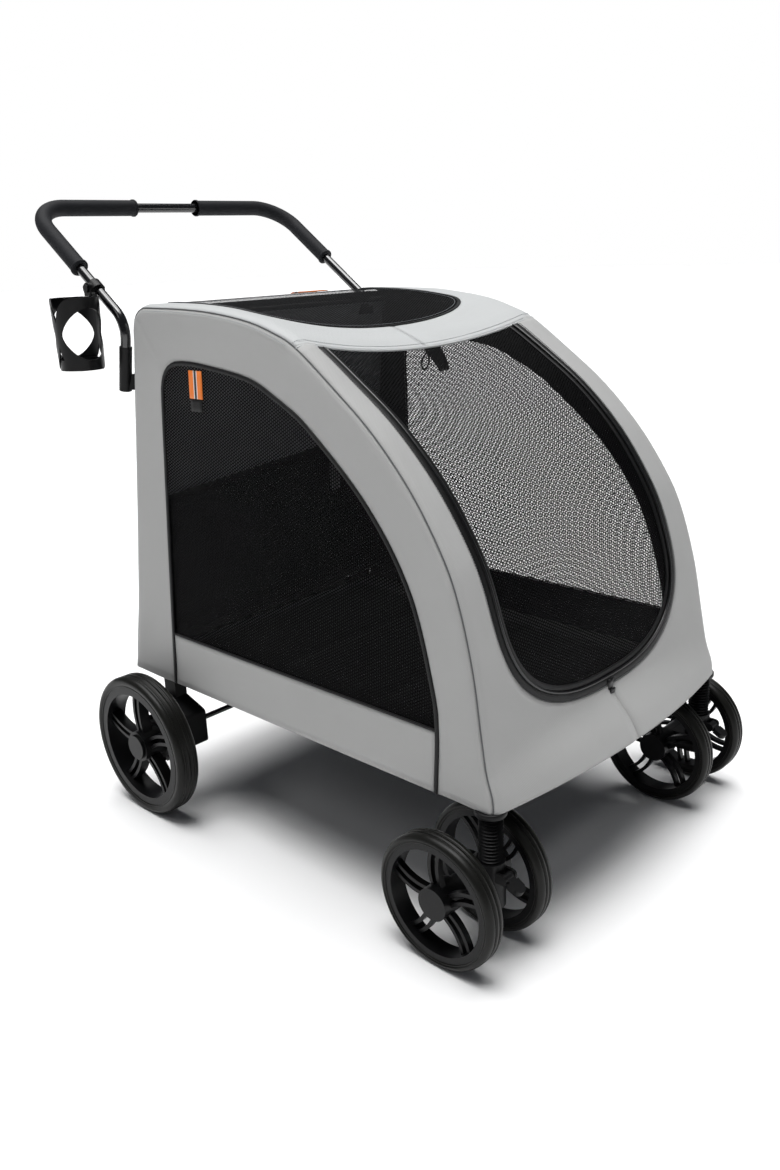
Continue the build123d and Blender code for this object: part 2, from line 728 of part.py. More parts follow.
post_length = math.hypot(post_top_y - rear_pivot_y, post_top_z - pivot_z)
lip_y = arch_rear_y - frame_tube_radius - lip_gap
cap_top = post_top_z + post_cap_height
for side_name, side in sides.items():
    x = side * post_x
    middle = (pivot_z + post_top_z) / 2
    post = on_post(Cylinder(frame_tube_radius, post_length), x, middle)
    x0 = x - frame_tube_radius
    x1 = x + frame_tube_radius
    post += bar_x(x0, x1, rear_pivot_y, pivot_z, frame_tube_radius)
    post -= on_post(Cylinder(frame_tube_radius - tube_wall, post_length * 2), x, middle)
    post += bar_x(x0, x1, rear_pivot_y, pivot_z, frame_tube_radius - tube_wall)
    post -= bar_x(x - far, x + far, rear_pivot_y, pivot_z, pivot_pin_radius + running_gap)
    cap = bar_z(x, post_top_y, post_top_z - post_cap_height / 2, cap_top, post_cap_radius)
    lip_x0, lip_x1 = sorted((side * (lip_x - lip_half_width), side * (lip_x + lip_half_width)))
    reach_x0, reach_x1 = sorted((side * (lip_x - lip_half_width), x))
    cap += block(reach_x0, reach_x1, lip_y - lip_thick, post_top_y, post_top_z, cap_top)
    cap += block(lip_x0, lip_x1, lip_y - lip_thick, lip_y, post_top_z, cap_top + lip_rise)
    post += cap
    save(f"{side_name}_rear_post", post)

crossbar_y = post_y(post_crossbar_z)
crossbar = bar_x(-post_x, post_x, crossbar_y, post_crossbar_z, post_crossbar_radius)
crossbar -= bar_x(-post_x, post_x, crossbar_y, post_crossbar_z, post_crossbar_radius - tube_wall)
for side in sides.values():
    crossbar -= on_post(Cylinder(frame_tube_radius, post_length), side * post_x, (pivot_z + post_top_z) / 2)
save("post_crossbar", crossbar)

latch_z = latch_low_z + latch_height / 2
latch = bar_x(-post_x, post_x, post_y(latch_z), latch_z, latch_rod_radius)
finger_y = arch_rear_y + frame_tube_radius + lip_gap
latch_low = latch_z - latch_rod_radius
latch_high = latch_z + latch_rod_radius
for side in sides.values():
    x = side * post_x
    latch += on_post(Cylinder(frame_tube_radius + slide_gap + latch_wall, latch_height), x, latch_z)
    x0 = side * latch_finger_x - latch_finger_width / 2
    x1 = side * latch_finger_x + latch_finger_width / 2
    latch += block(x0, x1, finger_y, finger_y + latch_finger_thick, latch_z, arch_top_z)
    latch += block(x0, x1, finger_y, post_y(latch_z), latch_low, latch_high)
for side in sides.values():
    latch -= on_post(Cylinder(frame_tube_radius + slide_gap, post_length), side * post_x, latch_z)
save("fold_latch", latch)

# ---------------------------------------------------------------- handle, grips and sockets
handle_side = [handle_low, handle_knee, (handle_bar_y, handle_bar_z)]
handle_points = [(-handle_x, y, z) for y, z in handle_side]
handle_points += [(handle_x, y, z) for y, z in reversed(handle_side)]
handle_radii = [handle_knee_radius, handle_corner, handle_corner, handle_knee_radius]
save("handle_tube", tube(handle_points, handle_radii, handle_tube_radius, handle_tube_wall))

arm_run = Vector(0, handle_bar_y - handle_knee[0], handle_bar_z - handle_knee[1]).normalized()
sleeve_run = Vector(0, handle_knee[0] - handle_low[0], handle_knee[1] - handle_low[1]).normalized()
for side_name, side in sides.items():
    corner = Vector(side * handle_x, handle_bar_y, handle_bar_z)
    grip_start = (side * grip_inner_x, handle_bar_y, handle_bar_z)
    grip_points = [grip_start, corner, corner - arm_run * grip_arm_length]
    grip = tube(grip_points, [handle_corner], grip_radius, grip_radius - handle_tube_radius)
    save(f"{side_name}_grip", grip)

for side_name, side in sides.items():
    low = Vector(side * handle_x, *handle_low)
    sleeve_plane = Plane(origin=low - sleeve_run * handle_socket_foot, z_dir=sleeve_run)
    sleeve = extrude(sleeve_plane * Circle(handle_socket_radius), amount=handle_socket_length)
    lug_low = lug_z - lug_height / 2
    lug_high = lug_z + lug_height / 2
    sleeve_y = handle_low[0] + (lug_z - handle_low[1]) * sleeve_run.Y / sleeve_run.Z
    inner = (side * post_x, post_y(lug_z))
    outer = (side * handle_x, sleeve_y)
    along = Vector(outer[0] - inner[0], outer[1] - inner[1], 0)
    lug_turn = math.degrees(math.atan2(along.Y, along.X))
    lug = Pos((inner[0] + outer[0]) / 2, (inner[1] + outer[1]) / 2, lug_z) * Rot(0, 0, lug_turn)
    lug = lug * Box(along.length, lug_thick, lug_height)
    collar = on_post(Cylinder(frame_tube_radius + lug_collar_wall, lug_height), side * post_x, lug_z)
    socket = sleeve + lug + collar
    socket -= on_post(Cylinder(frame_tube_radius, post_length), side * post_x, lug_z)
    bore = Plane(origin=low, z_dir=sleeve_run) * Circle(handle_tube_radius)
    socket -= extrude(bore, amount=handle_socket_length * 2)
    save(f"{side_name}_handle_socket", socket)

# ---------------------------------------------------------------- cup holder
cup_arm_share = (cup_clamp_y - handle_knee[0]) / (handle_bar_y - handle_knee[0])
cup_clamp_z = handle_knee[1] + cup_arm_share * (handle_bar_z - handle_knee[1])
clamp_centre = Vector(-handle_x, cup_clamp_y, cup_clamp_z)
clamp_middle = clamp_centre - Vector(cup_clamp_shift, 0, 0)
clamp_plane = Plane(origin=clamp_middle - arm_run * (cup_clamp_width / 2), z_dir=arm_run)
ear_inner_x = -cup_x + cup_radius
clamp = extrude(clamp_plane * Circle(cup_clamp_radius), amount=cup_clamp_width)
clamp += bar_x(ear_inner_x + cup_pin_gap, -handle_x, cup_clamp_y, cup_clamp_z, cup_ear_radius)
clamp += bar_x(ear_inner_x - cup_wall - cup_pin_gap, -handle_x, cup_clamp_y, cup_clamp_z, cup_pin_radius)
clamp += bar_x(
    ear_inner_x - cup_wall - cup_pin_gap, ear_inner_x - cup_wall - cup_pin_gap - pin_head_height,
    cup_clamp_y, cup_clamp_z, pin_head_radius,
)
arm_plane = Plane(origin=clamp_centre - arm_run * far, z_dir=arm_run)
clamp -= extrude(arm_plane * Circle(handle_tube_radius), amount=2 * far)
save("cup_clamp", clamp)

# Two oval rings of flat strap face forward and back round the cage, and cross on its outer side.
strap_cone = Cone(cup_foot_radius - cup_wall / 2, cup_radius - cup_wall / 2, cup_height)
strap = strap_cone.faces().filter_by(GeomType.CONE)[0]
strap -= extrude(Plane.XZ * Ellipse(cup_oval_width / 2, cup_oval_height / 2), amount=far, both=True)
strap_middle = (cup_foot_radius + cup_radius - cup_wall) / 2
ring_outline = Ellipse(cup_notch_reach, cup_height / 2 + cup_notch_crown)
notches = Rectangle(2 * strap_middle, cup_height + 2 * cup_wall)
notches -= Pos(-strap_middle, 0) * ring_outline
notches -= Pos(strap_middle, 0) * ring_outline
strap -= extrude(Plane.YZ * notches, amount=-far)
strap -= extrude(Plane.YZ * notches, amount=far) & block(0, far, -far, far, -far, 0)
cage = thicken(strap.faces()[0], amount=cup_wall / 2, both=True)
cage_foot = -cup_height / 2
seat_outer_height = cup_floor + cup_seat_height
cage += Pos(0, 0, cage_foot + seat_outer_height / 2) * Cylinder(cup_seat_radius, seat_outer_height)
cage -= Pos(0, 0, cage_foot + cup_floor + cup_seat_height / 2) * Cylinder(cup_bore_radius, cup_seat_height)
cage -= Pos(0, 0, cage_foot) * Cylinder(cup_seat_radius - cup_foot_ledge, 2 * seat_outer_height)
cage = Pos(-cup_x, cup_y, cup_z) * cage
cage -= bar_x(-cup_x, ear_inner_x - cup_wall, cup_clamp_y, cup_clamp_z, pin_head_radius + hub_gap)
hanger = prism_x(
    [
        (cup_clamp_y - cup_ear_radius, cup_z), (cup_clamp_y - cup_ear_radius, cup_clamp_z + cup_ear_radius),
        (cup_clamp_y + cup_ear_radius, cup_clamp_z + cup_ear_radius), (cup_clamp_y + cup_ear_radius, cup_z),
    ],
    [0, cup_hanger_round, cup_hanger_round, 0],
    ear_inner_x - cup_wall, ear_inner_x,
)
hanger_shell = Pos(-cup_x, cup_y, 0) * Cylinder(cup_radius, far)
hanger_shell -= Pos(-cup_x, cup_y, 0) * Cylinder(cup_radius - cup_hanger_reach, far)
hanger = hanger & (hanger_shell + block(-far, far, -far, far, cup_z + cup_height / 2, far))
cage += hanger
cage -= bar_x(-far, far, cup_clamp_y, cup_clamp_z, cup_pin_radius + running_gap)
save("cup_cage", cage)

# ---------------------------------------------------------------- cloth cabin
skin = offset_points(side_path, frame_tube_radius + tube_cover_gap + cloth)
inside = offset_points(side_path, frame_tube_radius + tube_cover_gap)
(skin_y0, skin_z0), (skin_y1, skin_z1) = skin[0], skin[1]
band_y = skin_y0 + (front_band_z - skin_z0) * (skin_y1 - skin_y0) / (skin_z1 - skin_z0)
skin[0] = (band_y, front_band_z)
(in_y0, in_z0), (in_y1, in_z1) = inside[0], inside[1]
inner_band_y = in_y0 + (front_band_z - in_z0) * (in_y1 - in_y0) / (in_z1 - in_z0)
inside[0] = (inner_band_y, front_band_z)
skin_radii = [radius + frame_tube_radius + tube_cover_gap + cloth for radius in bend_radii]
inside_radii = [radius + frame_tube_radius + tube_cover_gap for radius in bend_radii]
roof_z = skin[-1][1]
lean = math.degrees(math.atan(side_lean))


def side_slab(side, outer, thick):
    """The slanting slab that a side wall is cut from: how far in its outer face is, and how thick."""
    slab = Pos(-outer - thick / 2, 0, 0) * Box(thick, far, far)
    slab = Pos(hem_half_width, 0, hem_z) * Rot(0, -lean, 0) * slab
    return slab if side > 0 else mirror(slab, about=Plane.YZ)


cabin_outline = [
    (rear_hem_y, hem_z), (front_hem_y, hem_z), *skin[:-1], (roof_rear_y, roof_z), (rear_top_y, rear_top_z),
]
cabin_radii = [0, 0, 0, *skin_radii, 0, 0]
window_outline = [
    (window_rear_y, window_low_z), (window_top_rear_y, window_bends[0][1]), *window_bends,
    (window_front_y, window_low_z),
]
window_radii = [0, window_rear_corner, *soft_radii(window_outline[1:]), 0]
socket_top = socket_bottom_z + socket_height + socket_cloth_gap
socket_room = [
    bar_z(side * caster_x, caster_y, 0, socket_top, socket_radius + socket_cloth_gap)
    for side in sides.values()
]
for side_name, side in sides.items():
    x0, x1 = sorted((side * arch_x, side * (arch_x + far / 4)))
    cabin_half = prism_x(cabin_outline, cabin_radii, x0, x1)
    window = prism_x(window_outline, window_radii, x0, x1)
    wall = (cabin_half - window) & side_slab(side, 0, cloth)
    wall -= socket_room
    save(f"{side_name}_side_cover", wall)
    save(f"{side_name}_mesh_window", window & side_slab(side, window_recess, mesh_thick))

between = prism_y(
    [
        (-wall_x(hem_z) + cloth, hem_z), (wall_x(hem_z) - cloth, hem_z),
        (wall_x(far) - cloth, far), (-wall_x(far) + cloth, far),
    ],
    [0, 0, 0, 0], -far, far,
)
front_outline = skin[:-1] + list(reversed(inside[:-1]))
front_radii = [0, *skin_radii[:-1], 0, 0, *reversed(inside_radii[:-1]), 0]
front_panel = prism_x(front_outline, front_radii, -far, far) & block(-far, far, -far, visor_y, 0, far)
front_panel = front_panel & between


def band_section(z, corner_y, bow):
    """The front band's bowed strip at one height."""
    half = hem_half_width
    outer = ThreePointArc((-half, corner_y, z), (0, corner_y - bow, z), (half, corner_y, z))
    inner_y = corner_y + cloth
    inner = ThreePointArc((half, inner_y, z), (0, inner_y - bow, z), (-half, inner_y, z))
    edges = [outer, Line(outer @ 1, inner @ 0), inner, Line(inner @ 1, outer @ 0)]
    return make_face(edges)


low_section = band_section(hem_z, front_hem_y, front_hem_bow)
band = loft([low_section, band_section(front_band_z, band_y, cloth / 4)], ruled=True)
band = band & between
door_outline = [
    (-door_half_width, door_high_z), (-door_half_width, door_low_z),
    (door_half_width, door_low_z), (door_half_width, door_high_z),
]
door_hole = prism_y(door_outline, [0, door_corner, door_corner, 0], -far, visor_y)
edge = door_gap
inner_outline = [
    (-door_half_width + edge, door_high_z - edge), (-door_half_width + edge, door_low_z + edge),
    (door_half_width - edge, door_low_z + edge), (door_half_width - edge, door_high_z - edge),
]
door_shape = prism_y(inner_outline, [0, door_corner - edge, door_corner - edge, 0], -far, visor_y)
front_cover = (front_panel - door_hole) + band
slider_y = band_y - zip_slider / 2
slider_half = zip_slider / 2
slider_low = front_band_z - slider_half
slider = block(-slider_half, slider_half, slider_y, band_y, slider_low, slider_low + zip_slider)
front_cover += slider
front_cover -= socket_room
save("front_cover", front_cover)
save("front_door", front_panel & door_shape)

puller_lean = math.degrees(math.atan2(band_y - front_hem_y + front_hem_bow, front_band_z - hem_z))
puller_y = slider_y - zip_puller_gap
puller = block(-zip_puller_width / 2, zip_puller_width / 2, 0, zip_puller_thick, -zip_puller_length, 0)
puller = Pos(0, puller_y - zip_puller_thick, front_band_z) * Rot(-puller_lean, 0, 0) * puller
save("zip_puller", puller)


roof_line = FilletPolyline(*[(0, y, z) for y, z in skin[:-1]], (0, roof_rear_y, roof_z), radius=skin_radii)


def skin_at(y):
    """The point on the cabin's outer line at a distance behind the axle."""
    low, high = 0.0, 1.0
    for _ in range(40):
        half = (low + high) / 2
        if (roof_line @ half).Y < y:
            low = half
        else:
            high = half
    return roof_line @ low


sag_end_y = arch_rear_y - 2 * frame_tube_radius


def sag_at(y):
    """How far the middle of the roof hangs below its edges: most at the visor, none at the crossbar."""
    share = min(1.0, (y - visor_y) / (sag_end_y - visor_y))
    return roof_sag * (1 - share**2) ** 2 + cloth / 4


def roof_sheet(lift, thick):
    """The roof cloth, which sags between the side tubes; lift raises its outer face."""
    flat = arch_x - frame_tube_radius - tube_cover_gap - cloth
    sections = []
    for station in range(roof_stations):
        point = skin_at(visor_y + (roof_rear_y - visor_y) * station / (roof_stations - 1))
        sag = sag_at(point.Y)
        top_z = point.Z + lift
        rows = []
        for top in (top_z, top_z - thick):
            rows.append((
                Line((-hem_half_width, point.Y, top), (-flat, point.Y, top)),
                ThreePointArc((-flat, point.Y, top), (0, point.Y, top - sag), (flat, point.Y, top)),
                Line((flat, point.Y, top), (hem_half_width, point.Y, top)),
            ))
        upper, lower = rows
        ends = [
            Line((hem_half_width, point.Y, top_z), (hem_half_width, point.Y, top_z - thick)),
            Line((-hem_half_width, point.Y, top_z - thick), (-hem_half_width, point.Y, top_z)),
        ]
        sections.append(make_face([*upper, ends[0], *lower, ends[1]]))
    return loft(sections)


save("roof_cover", roof_sheet(0, cloth) & between)
panel_outline = [
    (-panel_half_width, panel_rear_y), (-panel_half_width, panel_front_y),
    (panel_half_width, panel_front_y), (panel_half_width, panel_rear_y),
]
panel_prism = prism_z(panel_outline, [0, panel_corner, panel_corner, 0], hem_z, far)
save("roof_panel", roof_sheet(panel_thick, panel_thick) & panel_prism)

rear_outline = [
    (rear_hem_y, hem_z), (rear_top_y, rear_top_z), (roof_rear_y, roof_z),
    (roof_rear_y, roof_z - cloth), (rear_top_y - cloth, rear_top_z), (rear_hem_y - cloth, hem_z),
]
rear_cover = prism_x(rear_outline, [0] * 6, -far / 4, far / 4) & between
for side in sides.values():
    x0, x1 = sorted((side * (post_x - frame_tube_radius - lug_slot_gap * 2), side * far / 4))
    slot_half = lug_height / 2 + lug_slot_gap
    rear_cover -= block(x0, x1, -far, far, lug_z - slot_half, lug_z + slot_half)
save("rear_cover", rear_cover)

# ---------------------------------------------------------------- tether under the visor
tether_top = skin_at(tether_y).Z - sag_at(tether_y) - cloth - tether_gap
tether = block(
    tether_x - tether_width / 2, tether_x + tether_width / 2,
    tether_y, tether_y + tether_thick, tether_top - tether_length, tether_top,
)
save("tether_strap", tether)
snap_top = tether_top - tether_length - snap_gap
snap_low = snap_top - snap_length
snap = block(
    tether_x - snap_width / 2, tether_x + snap_width / 2,
    tether_y - snap_thick / 2, tether_y + snap_thick / 2 + tether_thick,
    snap_low, snap_top,
)
snap -= bar_y(tether_x, -far, far, snap_low + snap_eye_rise, snap_eye)
save("tether_snap", snap)
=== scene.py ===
"""A folding pet stroller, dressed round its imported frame. Metres, +Z up, and forward is -Y."""

import math

import bmesh
import bpy
import numpy as np
from mathutils import Matrix, Vector, noise


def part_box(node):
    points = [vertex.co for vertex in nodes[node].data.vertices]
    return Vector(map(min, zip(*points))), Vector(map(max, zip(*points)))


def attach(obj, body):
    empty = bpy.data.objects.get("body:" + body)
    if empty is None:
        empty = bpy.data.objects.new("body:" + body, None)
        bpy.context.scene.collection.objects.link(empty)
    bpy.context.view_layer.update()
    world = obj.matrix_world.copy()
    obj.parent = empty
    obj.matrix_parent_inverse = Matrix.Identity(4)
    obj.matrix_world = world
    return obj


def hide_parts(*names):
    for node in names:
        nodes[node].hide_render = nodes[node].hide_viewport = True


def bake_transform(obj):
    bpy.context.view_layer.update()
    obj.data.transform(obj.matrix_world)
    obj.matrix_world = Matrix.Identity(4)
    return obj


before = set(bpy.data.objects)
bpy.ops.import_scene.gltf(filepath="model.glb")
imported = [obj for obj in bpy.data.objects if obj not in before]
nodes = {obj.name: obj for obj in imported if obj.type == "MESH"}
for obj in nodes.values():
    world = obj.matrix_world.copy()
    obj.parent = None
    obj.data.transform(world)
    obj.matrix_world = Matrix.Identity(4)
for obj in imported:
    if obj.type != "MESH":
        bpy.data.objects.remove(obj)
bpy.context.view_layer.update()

# ------------------------------------------------------------------ studio
# A flat white paper floor and a backdrop that shows white, under large soft lamps, as in a shop's catalogue.
# The stroller is drawn in millimetres from its rear axle, so place() turns those into the frame's metres.
mm = 0.001
axle_low, axle_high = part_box("rear_axles")
axle_y = (axle_low.y + axle_high.y) / 2


def place(x, y, z):
    """A point in millimetres from the rear axle's line, and from the ground, in the frame."""
    return Vector((x * mm, axle_y + y * mm, z * mm))


camera_yaw, camera_pitch, camera_roll = 0.806889, 0.318669, -0.0381493
camera_spot, camera_lens = place(-1185.8, -1385.7, 901.0), 31.451
look = Vector((
    math.sin(camera_yaw) * math.cos(camera_pitch),
    math.cos(camera_yaw) * math.cos(camera_pitch),
    -math.sin(camera_pitch),
))
level = Vector((math.cos(camera_yaw), -math.sin(camera_yaw), 0))
upright = level.cross(look)
turn_cos, turn_sin = math.cos(camera_roll), math.sin(camera_roll)
camera_right = turn_cos * level + turn_sin * upright
camera_up = turn_cos * upright - turn_sin * level
camera = bpy.data.objects.new("camera", bpy.data.cameras.new("camera"))
bpy.context.scene.collection.objects.link(camera)
camera.data.lens = camera_lens
camera.data.clip_start, camera.data.clip_end = 0.05, 50
turned = Matrix((camera_right, camera_up, -look)).transposed().to_4x4()
camera.matrix_world = Matrix.Translation(camera_spot) @ turned
bpy.context.scene.camera = camera


def linear(hex_colour):
    """An sRGB hex colour as linear red, green, blue and alpha."""
    channels = [int(hex_colour[i:i + 2], 16) / 255 for i in (1, 3, 5)]
    return [c / 12.92 if c <= 0.04045 else ((c + 0.055) / 1.055) ** 2.4 for c in channels] + [1]


def add(tree, kind, settings, inputs):
    """Add one shader node, with its settings and with its inputs' values or links."""
    made = tree.nodes.new("ShaderNode" + kind)
    for name, value in settings.items():
        setattr(made, name, value)
    for name, value in inputs.items():
        if isinstance(value, bpy.types.NodeSocket):
            tree.links.new(value, made.inputs[name])
        else:
            made.inputs[name].default_value = value
    return made


def new_material(name):
    """An empty node material and its tree."""
    material = bpy.data.materials.new(name)
    material.use_nodes = True
    material.node_tree.nodes.clear()
    return material, material.node_tree


def mesh_object(name, points, faces):
    """A smooth-shaded mesh of the given points and faces."""
    mesh = bpy.data.meshes.new(name)
    mesh.from_pydata([tuple(p) for p in points], [], faces)
    mesh.validate()
    mesh.polygons.foreach_set("use_smooth", [True] * len(mesh.polygons))
    made = bpy.data.objects.new(name, mesh)
    bpy.context.scene.collection.objects.link(made)
    return made


paper, tree = new_material("white_paper")
matt = add(tree, "BsdfPrincipled", {}, {"Base Color": linear("#f0f0f0"), "Roughness": 0.9})
add(tree, "OutputMaterial", {}, {"Surface": matt.outputs[0]})
bpy.context.scene.view_settings.view_transform = "Standard"
reach = 30.0
floor = mesh_object(
    "studio_floor",
    [(-reach, -reach, 0), (reach, -reach, 0), (reach, reach, 0), (-reach, reach, 0)], [(0, 1, 2, 3)],
)
floor.data.materials.append(paper)

world = bpy.data.worlds.new("studio")
bpy.context.scene.world = world
world.use_nodes = True
world.node_tree.nodes.clear()
paper_wall = add(world.node_tree, "Background", {}, {"Color": linear("#ffffff"), "Strength": 1.0})
fill_light = add(world.node_tree, "Background", {}, {"Color": linear("#f2f6ff"), "Strength": 0.1})
seen = add(world.node_tree, "LightPath", {}, {}).outputs["Is Camera Ray"]
sky = add(world.node_tree, "MixShader", {}, {0: seen, 1: fill_light.outputs[0], 2: paper_wall.outputs[0]})
add(world.node_tree, "OutputWorld", {}, {"Surface": sky.outputs[0]})


def lamp(name, kind, energy, toward, **settings):
    """A lamp whose light comes from the given direction."""
    light = bpy.data.lights.new(name, kind)
    light.energy = energy
    for setting, value in settings.items():
        setattr(light, setting, value)
    holder = bpy.data.objects.new(name, light)
    bpy.context.scene.collection.objects.link(holder)
    holder.rotation_euler = Vector(toward).to_track_quat("Z", "Y").to_euler()
    return holder


lamp("lamp_overhead", "SUN", 3.7, (0.08, 0.14, 1.0), angle=math.radians(58))
lamp("lamp_key", "SUN", 0.9, (-0.1, -0.05, 1.0), angle=math.radians(24))
lamp_spot, lamp_target = Vector((-1.9, 0.5, 2.1)), Vector((-0.2, -0.1, 0.7))
lamp("lamp_side", "AREA", 4, lamp_spot - lamp_target, shape="DISK", size=0.9).location = lamp_spot

# ------------------------------------------------------------------ steel frame
# The base, posts, arch hoop, handle and brake rod are drawn steel tube, bent and powder-coated
# black. The powder flows out almost smooth and leaves a faint orange peel under a soft gloss.
orange_peel_mm = 1.6


def dressed(material, *names):
    """Give CAD nodes, whose shape is right, the finish they really have."""
    for name in names:
        nodes[name].data.materials.clear()
        nodes[name].data.materials.append(material)
        nodes[name].data.polygons.foreach_set("material_index", [0] * len(nodes[name].data.polygons))


def both(name):
    """The names of a node's left and right copies."""
    return [f"left_{name}", f"right_{name}"]


def clouded(tree, where, cloud_mm, detail, colour, mottle):
    """The colour, a little paler and a little darker in soft clouds of the given width."""
    cloud = add(tree, "TexNoise", {}, {"Vector": where, "Scale": 1 / (cloud_mm * mm), "Detail": detail})
    dark, pale = ([c * (1 + share) for c in linear(colour)[:3]] + [1] for share in (-mottle, mottle))
    return add(tree, "Mix", {"data_type": "RGBA"}, {0: cloud.outputs["Fac"], 6: dark, 7: pale}).outputs[2]


solid_cloud_mm = 71.4


def grained(name, colour, roughness, grain_mm, grain_depth, mottle=0.12, **sockets):
    """A moulded or coated solid: a fine random grain in the surface, and faint cloudy mottling."""
    material, tree = new_material(name)
    where = add(tree, "TexCoord", {}, {}).outputs["Object"]
    grain = add(tree, "TexNoise", {}, {"Vector": where, "Scale": 1 / (grain_mm * mm), "Detail": 2})
    height = grain.outputs["Fac"]
    sheen = add(tree, "MapRange", {}, {
        "Value": height, "To Min": roughness - 0.06, "To Max": roughness + 0.06,
    })
    bump = add(tree, "Bump", {}, {"Height": height, "Distance": grain_depth * mm, "Strength": 0.5})
    shader = add(tree, "BsdfPrincipled", {}, {
        "Base Color": clouded(tree, where, solid_cloud_mm, 3, colour, mottle), "Roughness": sheen.outputs[0],
        "Normal": bump.outputs[0], **sockets,
    })
    add(tree, "OutputMaterial", {}, {"Surface": shader.outputs[0]})
    return material


powder_coat = grained("powder_coated_steel", "#0c0c0e", 0.17, orange_peel_mm, 0.03, IOR=1.7)
dressed(
    powder_coat, "base_crossbars", *both("base_rail"), "rear_hinge_plates", "front_hinge_plates",
    *both("rear_post"), "post_crossbar", "handle_tube", "arch_hoop", "brake_bar", *both("caster_stem"),
)

# ------------------------------------------------------------------ pins and axles
# Turned steel pins and axles, zinc-plated: a bright, slightly cloudy grey with fine lathe marks
# running round the pin, drawn coarser than they are so that they show.
zinc, tree = new_material("zinc_plated_steel")
where = add(tree, "TexCoord", {}, {}).outputs["Object"]
lathe_mark_mm, bloom_mm = 1.583, 11.1
marks = add(tree, "TexWave", {"wave_type": "BANDS", "bands_direction": "X"}, {
    "Vector": where, "Scale": math.pi / 10 / (lathe_mark_mm * mm), "Distortion": 0.6, "Detail": 1,
})
bump = add(tree, "Bump", {}, {"Height": marks.outputs["Fac"], "Distance": 0.03 * mm, "Strength": 0.4})
bloom = add(tree, "TexNoise", {}, {"Vector": where, "Scale": 1 / (bloom_mm * mm), "Detail": 2})
sheen = add(tree, "MapRange", {}, {"Value": bloom.outputs["Fac"], "To Min": 0.28, "To Max": 0.45})
shader = add(tree, "BsdfPrincipled", {}, {
    "Base Color": linear("#b9bcbf"), "Metallic": 1.0, "Roughness": sheen.outputs[0],
    "Normal": bump.outputs[0],
})
add(tree, "OutputMaterial", {}, {"Surface": shader.outputs[0]})
dressed(zinc, "hinge_pins", "rear_axles", *both("caster_axle"))

# ------------------------------------------------------------------ moulded fittings
# Sockets, axle brackets, caster heads, levers, clamps and the latch are glass-filled nylon,
# injection moulded in spark-eroded tools: a dull black with a fine even grit.
satin = {"IOR": 1.5, "Specular IOR Level": 0.2}
nylon = grained("moulded_nylon", "#0b0b0c", 0.42, 0.9, 0.08, **satin)
dressed(
    nylon, *both("caster_socket"), *both("rear_bracket"), *both("caster_head"), *both("caster_lever"),
    "fold_latch", *both("handle_socket"), "cup_clamp",
)


def quads(rows, columns, ring=False, closed=False):
    """Four-sided faces over a grid of points. A ring joins each row's ends, and closed joins
    the last row to the first."""
    return [
        (i * columns + j, i * columns + k, (i + 1) % rows * columns + k, (i + 1) % rows * columns + j)
        for i in range(rows if closed else rows - 1)
        for j, k in [(j, (j + 1) % columns) for j in range(columns if ring else columns - 1)]
    ]


def lathe(name, profile, axis_point, axis, count=96):
    """A ring turned about an axis: profile is a closed line of (distance along, radius)."""
    axis = Vector(axis).normalized()
    across = axis.orthogonal().normalized()
    third = axis.cross(across)
    points = []
    for turn in range(count):
        angle = 2 * math.pi * turn / count
        out = math.cos(angle) * across + math.sin(angle) * third
        points += [axis_point + axis * along + out * radius for along, radius in profile]
    return mesh_object(name, points, quads(count, len(profile), ring=True, closed=True))


# a flanged nylon bush caps each socket under the hem, where the caster's stem goes in
bush_radius, bush_bore, bush_low, bush_high = 21.5, 8.6, 212.6, 221.6
for side in ("left", "right"):
    low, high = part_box(f"{side}_caster_stem")
    middle = (low + high) / 2
    bush = lathe(f"{side}_stem_bush", [(along * mm, out * mm) for along, out in (
        (bush_low, bush_bore), (bush_low, bush_radius - 3), (bush_low + 1, bush_radius - 1),
        (bush_low + 2.5, bush_radius), (bush_high - 1, bush_radius), (bush_high, bush_radius - 1),
        (bush_high, bush_bore),
    )], Vector((middle.x, middle.y, 0)), (0, 0, 1), 64)
    bush.data.materials.append(nylon)
    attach(bush, "base")

# ------------------------------------------------------------------ wheels
# Each rim is polypropylene, moulded in one with five pairs of curved spokes: satin black. The
# tyre is solid foam rubber with an olive cast, moulded with fine grooves round its tread.
rim_plastic = grained("moulded_polypropylene", "#0c0c0d", 0.36, 1.1, 0.04, **satin)
rims = [*both("rear_rim"), *both("outer_front_rim"), *both("inner_front_rim")]
dressed(rim_plastic, *rims)
tyre_rubber = grained("foam_rubber_tyre", "#121210", 0.38, 1.4, 0.06, mottle=0.2, **satin)

tread_sides = 14


def tyre_profile(radius, width, depth):
    """Half the tyre's section from its bead to the middle of the tread, as (across, radius)."""
    half, inner = width / 2, radius - depth
    belly = [(half - a, inner + b) for a, b in ((1.2, 0.0), (0.6, 1.5), (1.9, 2.4), (0.9, 3.2))]
    crown = []
    for step in range(tread_sides + 1):
        angle = math.radians(-20 + 110 * step / tread_sides)
        crown.append((half - 9 + 9 * math.cos(angle), radius - 8.2 + 8.2 * math.sin(angle)))
    crown = [p for p in crown if p[1] > inner + 3.4]
    groove, grooves = ((1.0, 0.0), (0.5, 0.9), (-0.5, 0.9), (-1.0, 0.0)), []
    for middle in (half - 10.5, half - 14.5, 3.2):
        if 1.5 < middle < half - 9.5:
            grooves += [(middle + a, radius - b) for a, b in groove]
    return belly + crown + grooves


